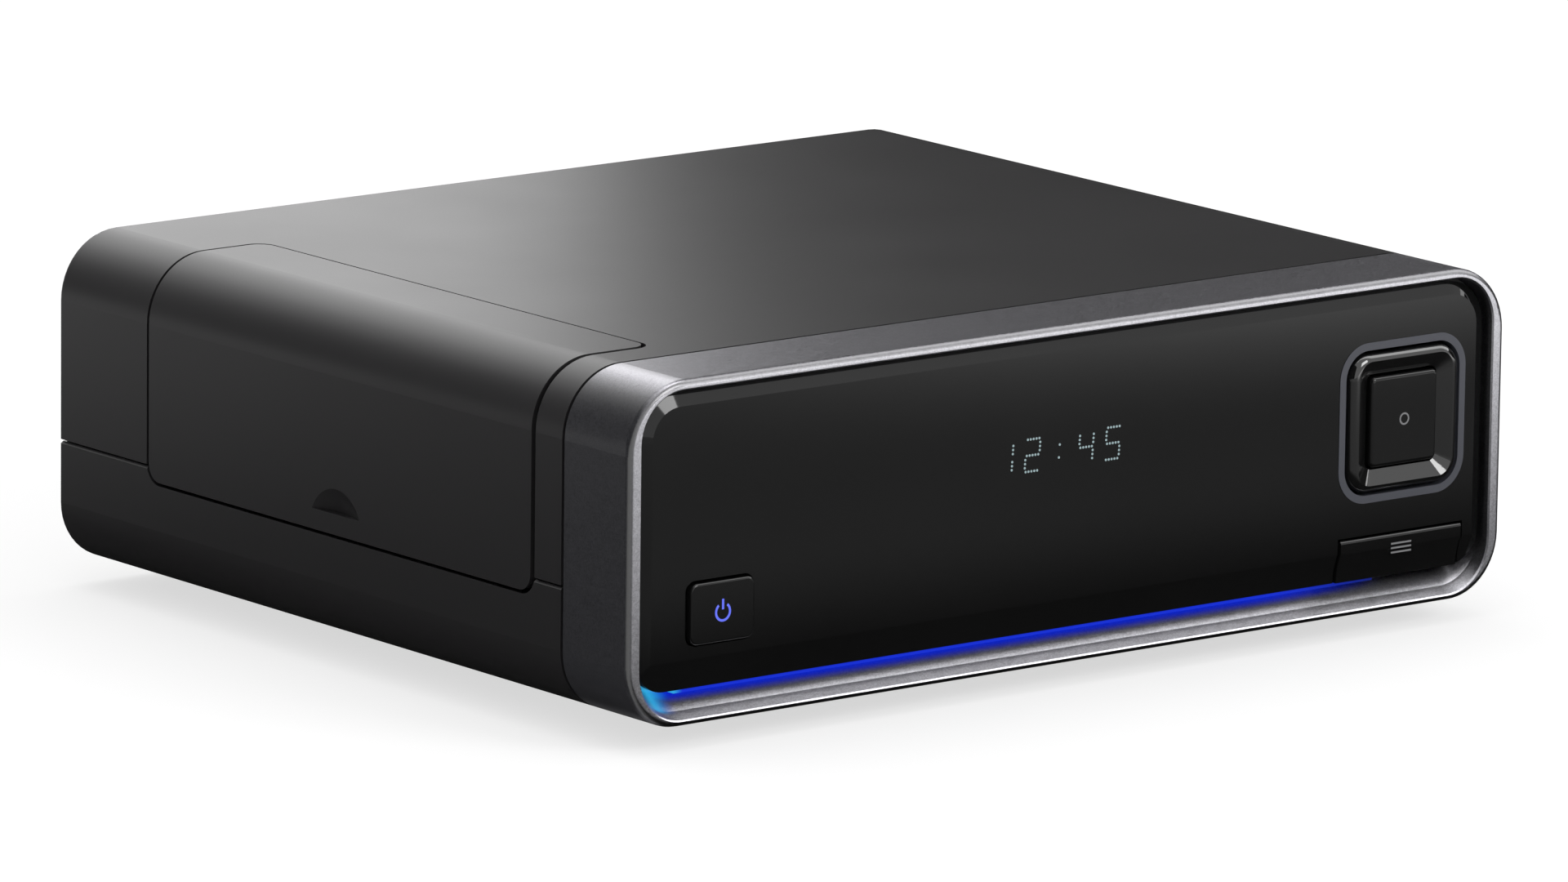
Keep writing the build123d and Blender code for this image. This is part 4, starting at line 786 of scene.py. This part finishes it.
def mat_finish():
    """Dark beside the player and brighter away from it, in front and at the back left."""
    finish = Finish("mat")
    x, y, z = finish.axes(finish.place())
    ahead = FRONT_Y - y
    near = finish.fade(ahead, *NEAR) * NEAR_LEVEL
    far_right = finish.fade(x, *FAR_RIGHT) * FAR_RIGHT_LEVEL
    far = finish.fade(ahead, *FAR) * (FAR_LEVEL + far_right)
    behind = finish.fade(y, *BEHIND) * finish.fade(x, *BEHIND_LEFT) * BEHIND_LEVEL
    level = near + far + behind + MAT_LEAST
    colour = finish.mix(level / MAT_WHITE, grey(0.0), grey(MAT_WHITE))
    glow = {"Color": colour, "Strength": 1.0}
    return finish.shade(finish.node("ShaderNodeEmission", sockets=glow))


def reflected_only(card, look):
    """Dresses a card and leaves it visible to reflections alone."""
    dress(card, look)
    card.visible_camera = False
    card.visible_diffuse = False
    card.visible_transmission = False
    card.visible_shadow = False


reflected_only(lying("mat", -1.0, -1.0, 1.0, 0.9, MAT_TOP), mat_finish())
print("mat laid")

# %% [markdown]
# ## Cards
# A photographer shapes a black object with cards. Lamps alone would leave small hard spots on
# it, and a card gives a broad soft sheen. Dark cards at the left, the right and the back
# right keep the case black. A bright one behind gives the top its sheen, and another, high
# on the right, lights the rounded edges of the rim and the keys.

# %% Cards
def upright(name, start, end, height):
    """A standing card over a line on the floor."""
    (x1, y1), (x2, y2) = start, end
    return plain_sheet(name, [(x1, y1, 0), (x2, y2, 0), (x2, y2, height), (x1, y1, height)])


def facing_card(name, direction, distance, width, height):
    """A card across a direction, which faces the player."""
    ahead = Vector(direction).normalized()
    across = ahead.cross((0, 0, 1)).normalized() * (width / 2)
    rise = across.cross(ahead).normalized() * (height / 2)
    low, high = ahead * distance - rise, ahead * distance + rise
    return plain_sheet(name, [low - across, low + across, high + across, high - across])


def card_finish(name, level):
    """A card that is evenly bright."""
    finish = Finish(name)
    glow = {"Color": grey(1.0), "Strength": level}
    return finish.shade(finish.node("ShaderNodeEmission", sockets=glow))


DARK = card_finish("dark_card", 0.02)
BRIGHT = card_finish("bright_card", 2.3)
EDGE_LIGHT = card_finish("edge_card", 3.6)
EDGE_DIRECTION = (0.617, -0.189, 0.764)
edges = facing_card("card_edges", EDGE_DIRECTION, distance=0.9, width=0.5, height=1.5)
STANDING = [  # name, start, end, height and finish
    ("card_left", (-0.8, -1.5), (-0.8, 2.0), 1.4, DARK),
    ("card_back_right", (0.277, 0.415), (0.95, 0.0), 1.2, DARK),
    ("card_right", (0.95, 0.0), (0.95, -0.6), 1.2, DARK),
    ("card_back", (-0.088, 1.342), (0.70, 0.72), 1.4, BRIGHT),
]
for name, start, end, height, look in STANDING:
    reflected_only(upright(name, start, end, height), look)
reflected_only(edges, EDGE_LIGHT)
print(len(STANDING) + 1, "cards stand round the player")

# %% [markdown]
# ## World and lamps
# The world gives even light from all sides, at a level at which a colour renders about as it
# is written, and it is white where the camera or a polished surface looks at it. Two large
# soft lamps add a little light from the front right and from above.

# %% World and lamps
AMBIENT = 0.95
AIM = Vector((0, 0, 0.03))

world = bpy.data.worlds.new("world")
bpy.context.scene.world = world
air = Finish("world", holder=world)
ambient = air.node("ShaderNodeBackground", sockets={"Color": grey(1.0), "Strength": AMBIENT})
white = air.node("ShaderNodeBackground", sockets={"Color": grey(1.0), "Strength": 1.0})
sky = air.node("ShaderNodeMixShader", sockets={0: seen_rays(air), 1: ambient, 2: white})
air.node("ShaderNodeOutputWorld", sockets={"Surface": sky})
bpy.context.scene.view_settings.view_transform = "Standard"


def lamp(name, place, size, power):
    """A square soft lamp that points at the player."""
    data = bpy.data.lights.new(name, "AREA")
    data.size = size
    data.energy = power
    made = bpy.data.objects.new(name, data)
    bpy.context.scene.collection.objects.link(made)
    made.location = place
    made.rotation_euler = (AIM - Vector(place)).to_track_quat("-Z", "Y").to_euler()


lamp("front_lamp", place=(0.55, -1.5, 0.95), size=0.7, power=12.0)
lamp("top_lamp", place=(-0.2, 0.3, 1.6), size=1.2, power=7.0)
print("lamps lit")

# %% [markdown]
# ## The end

# %% The end
print("the lesson ends")
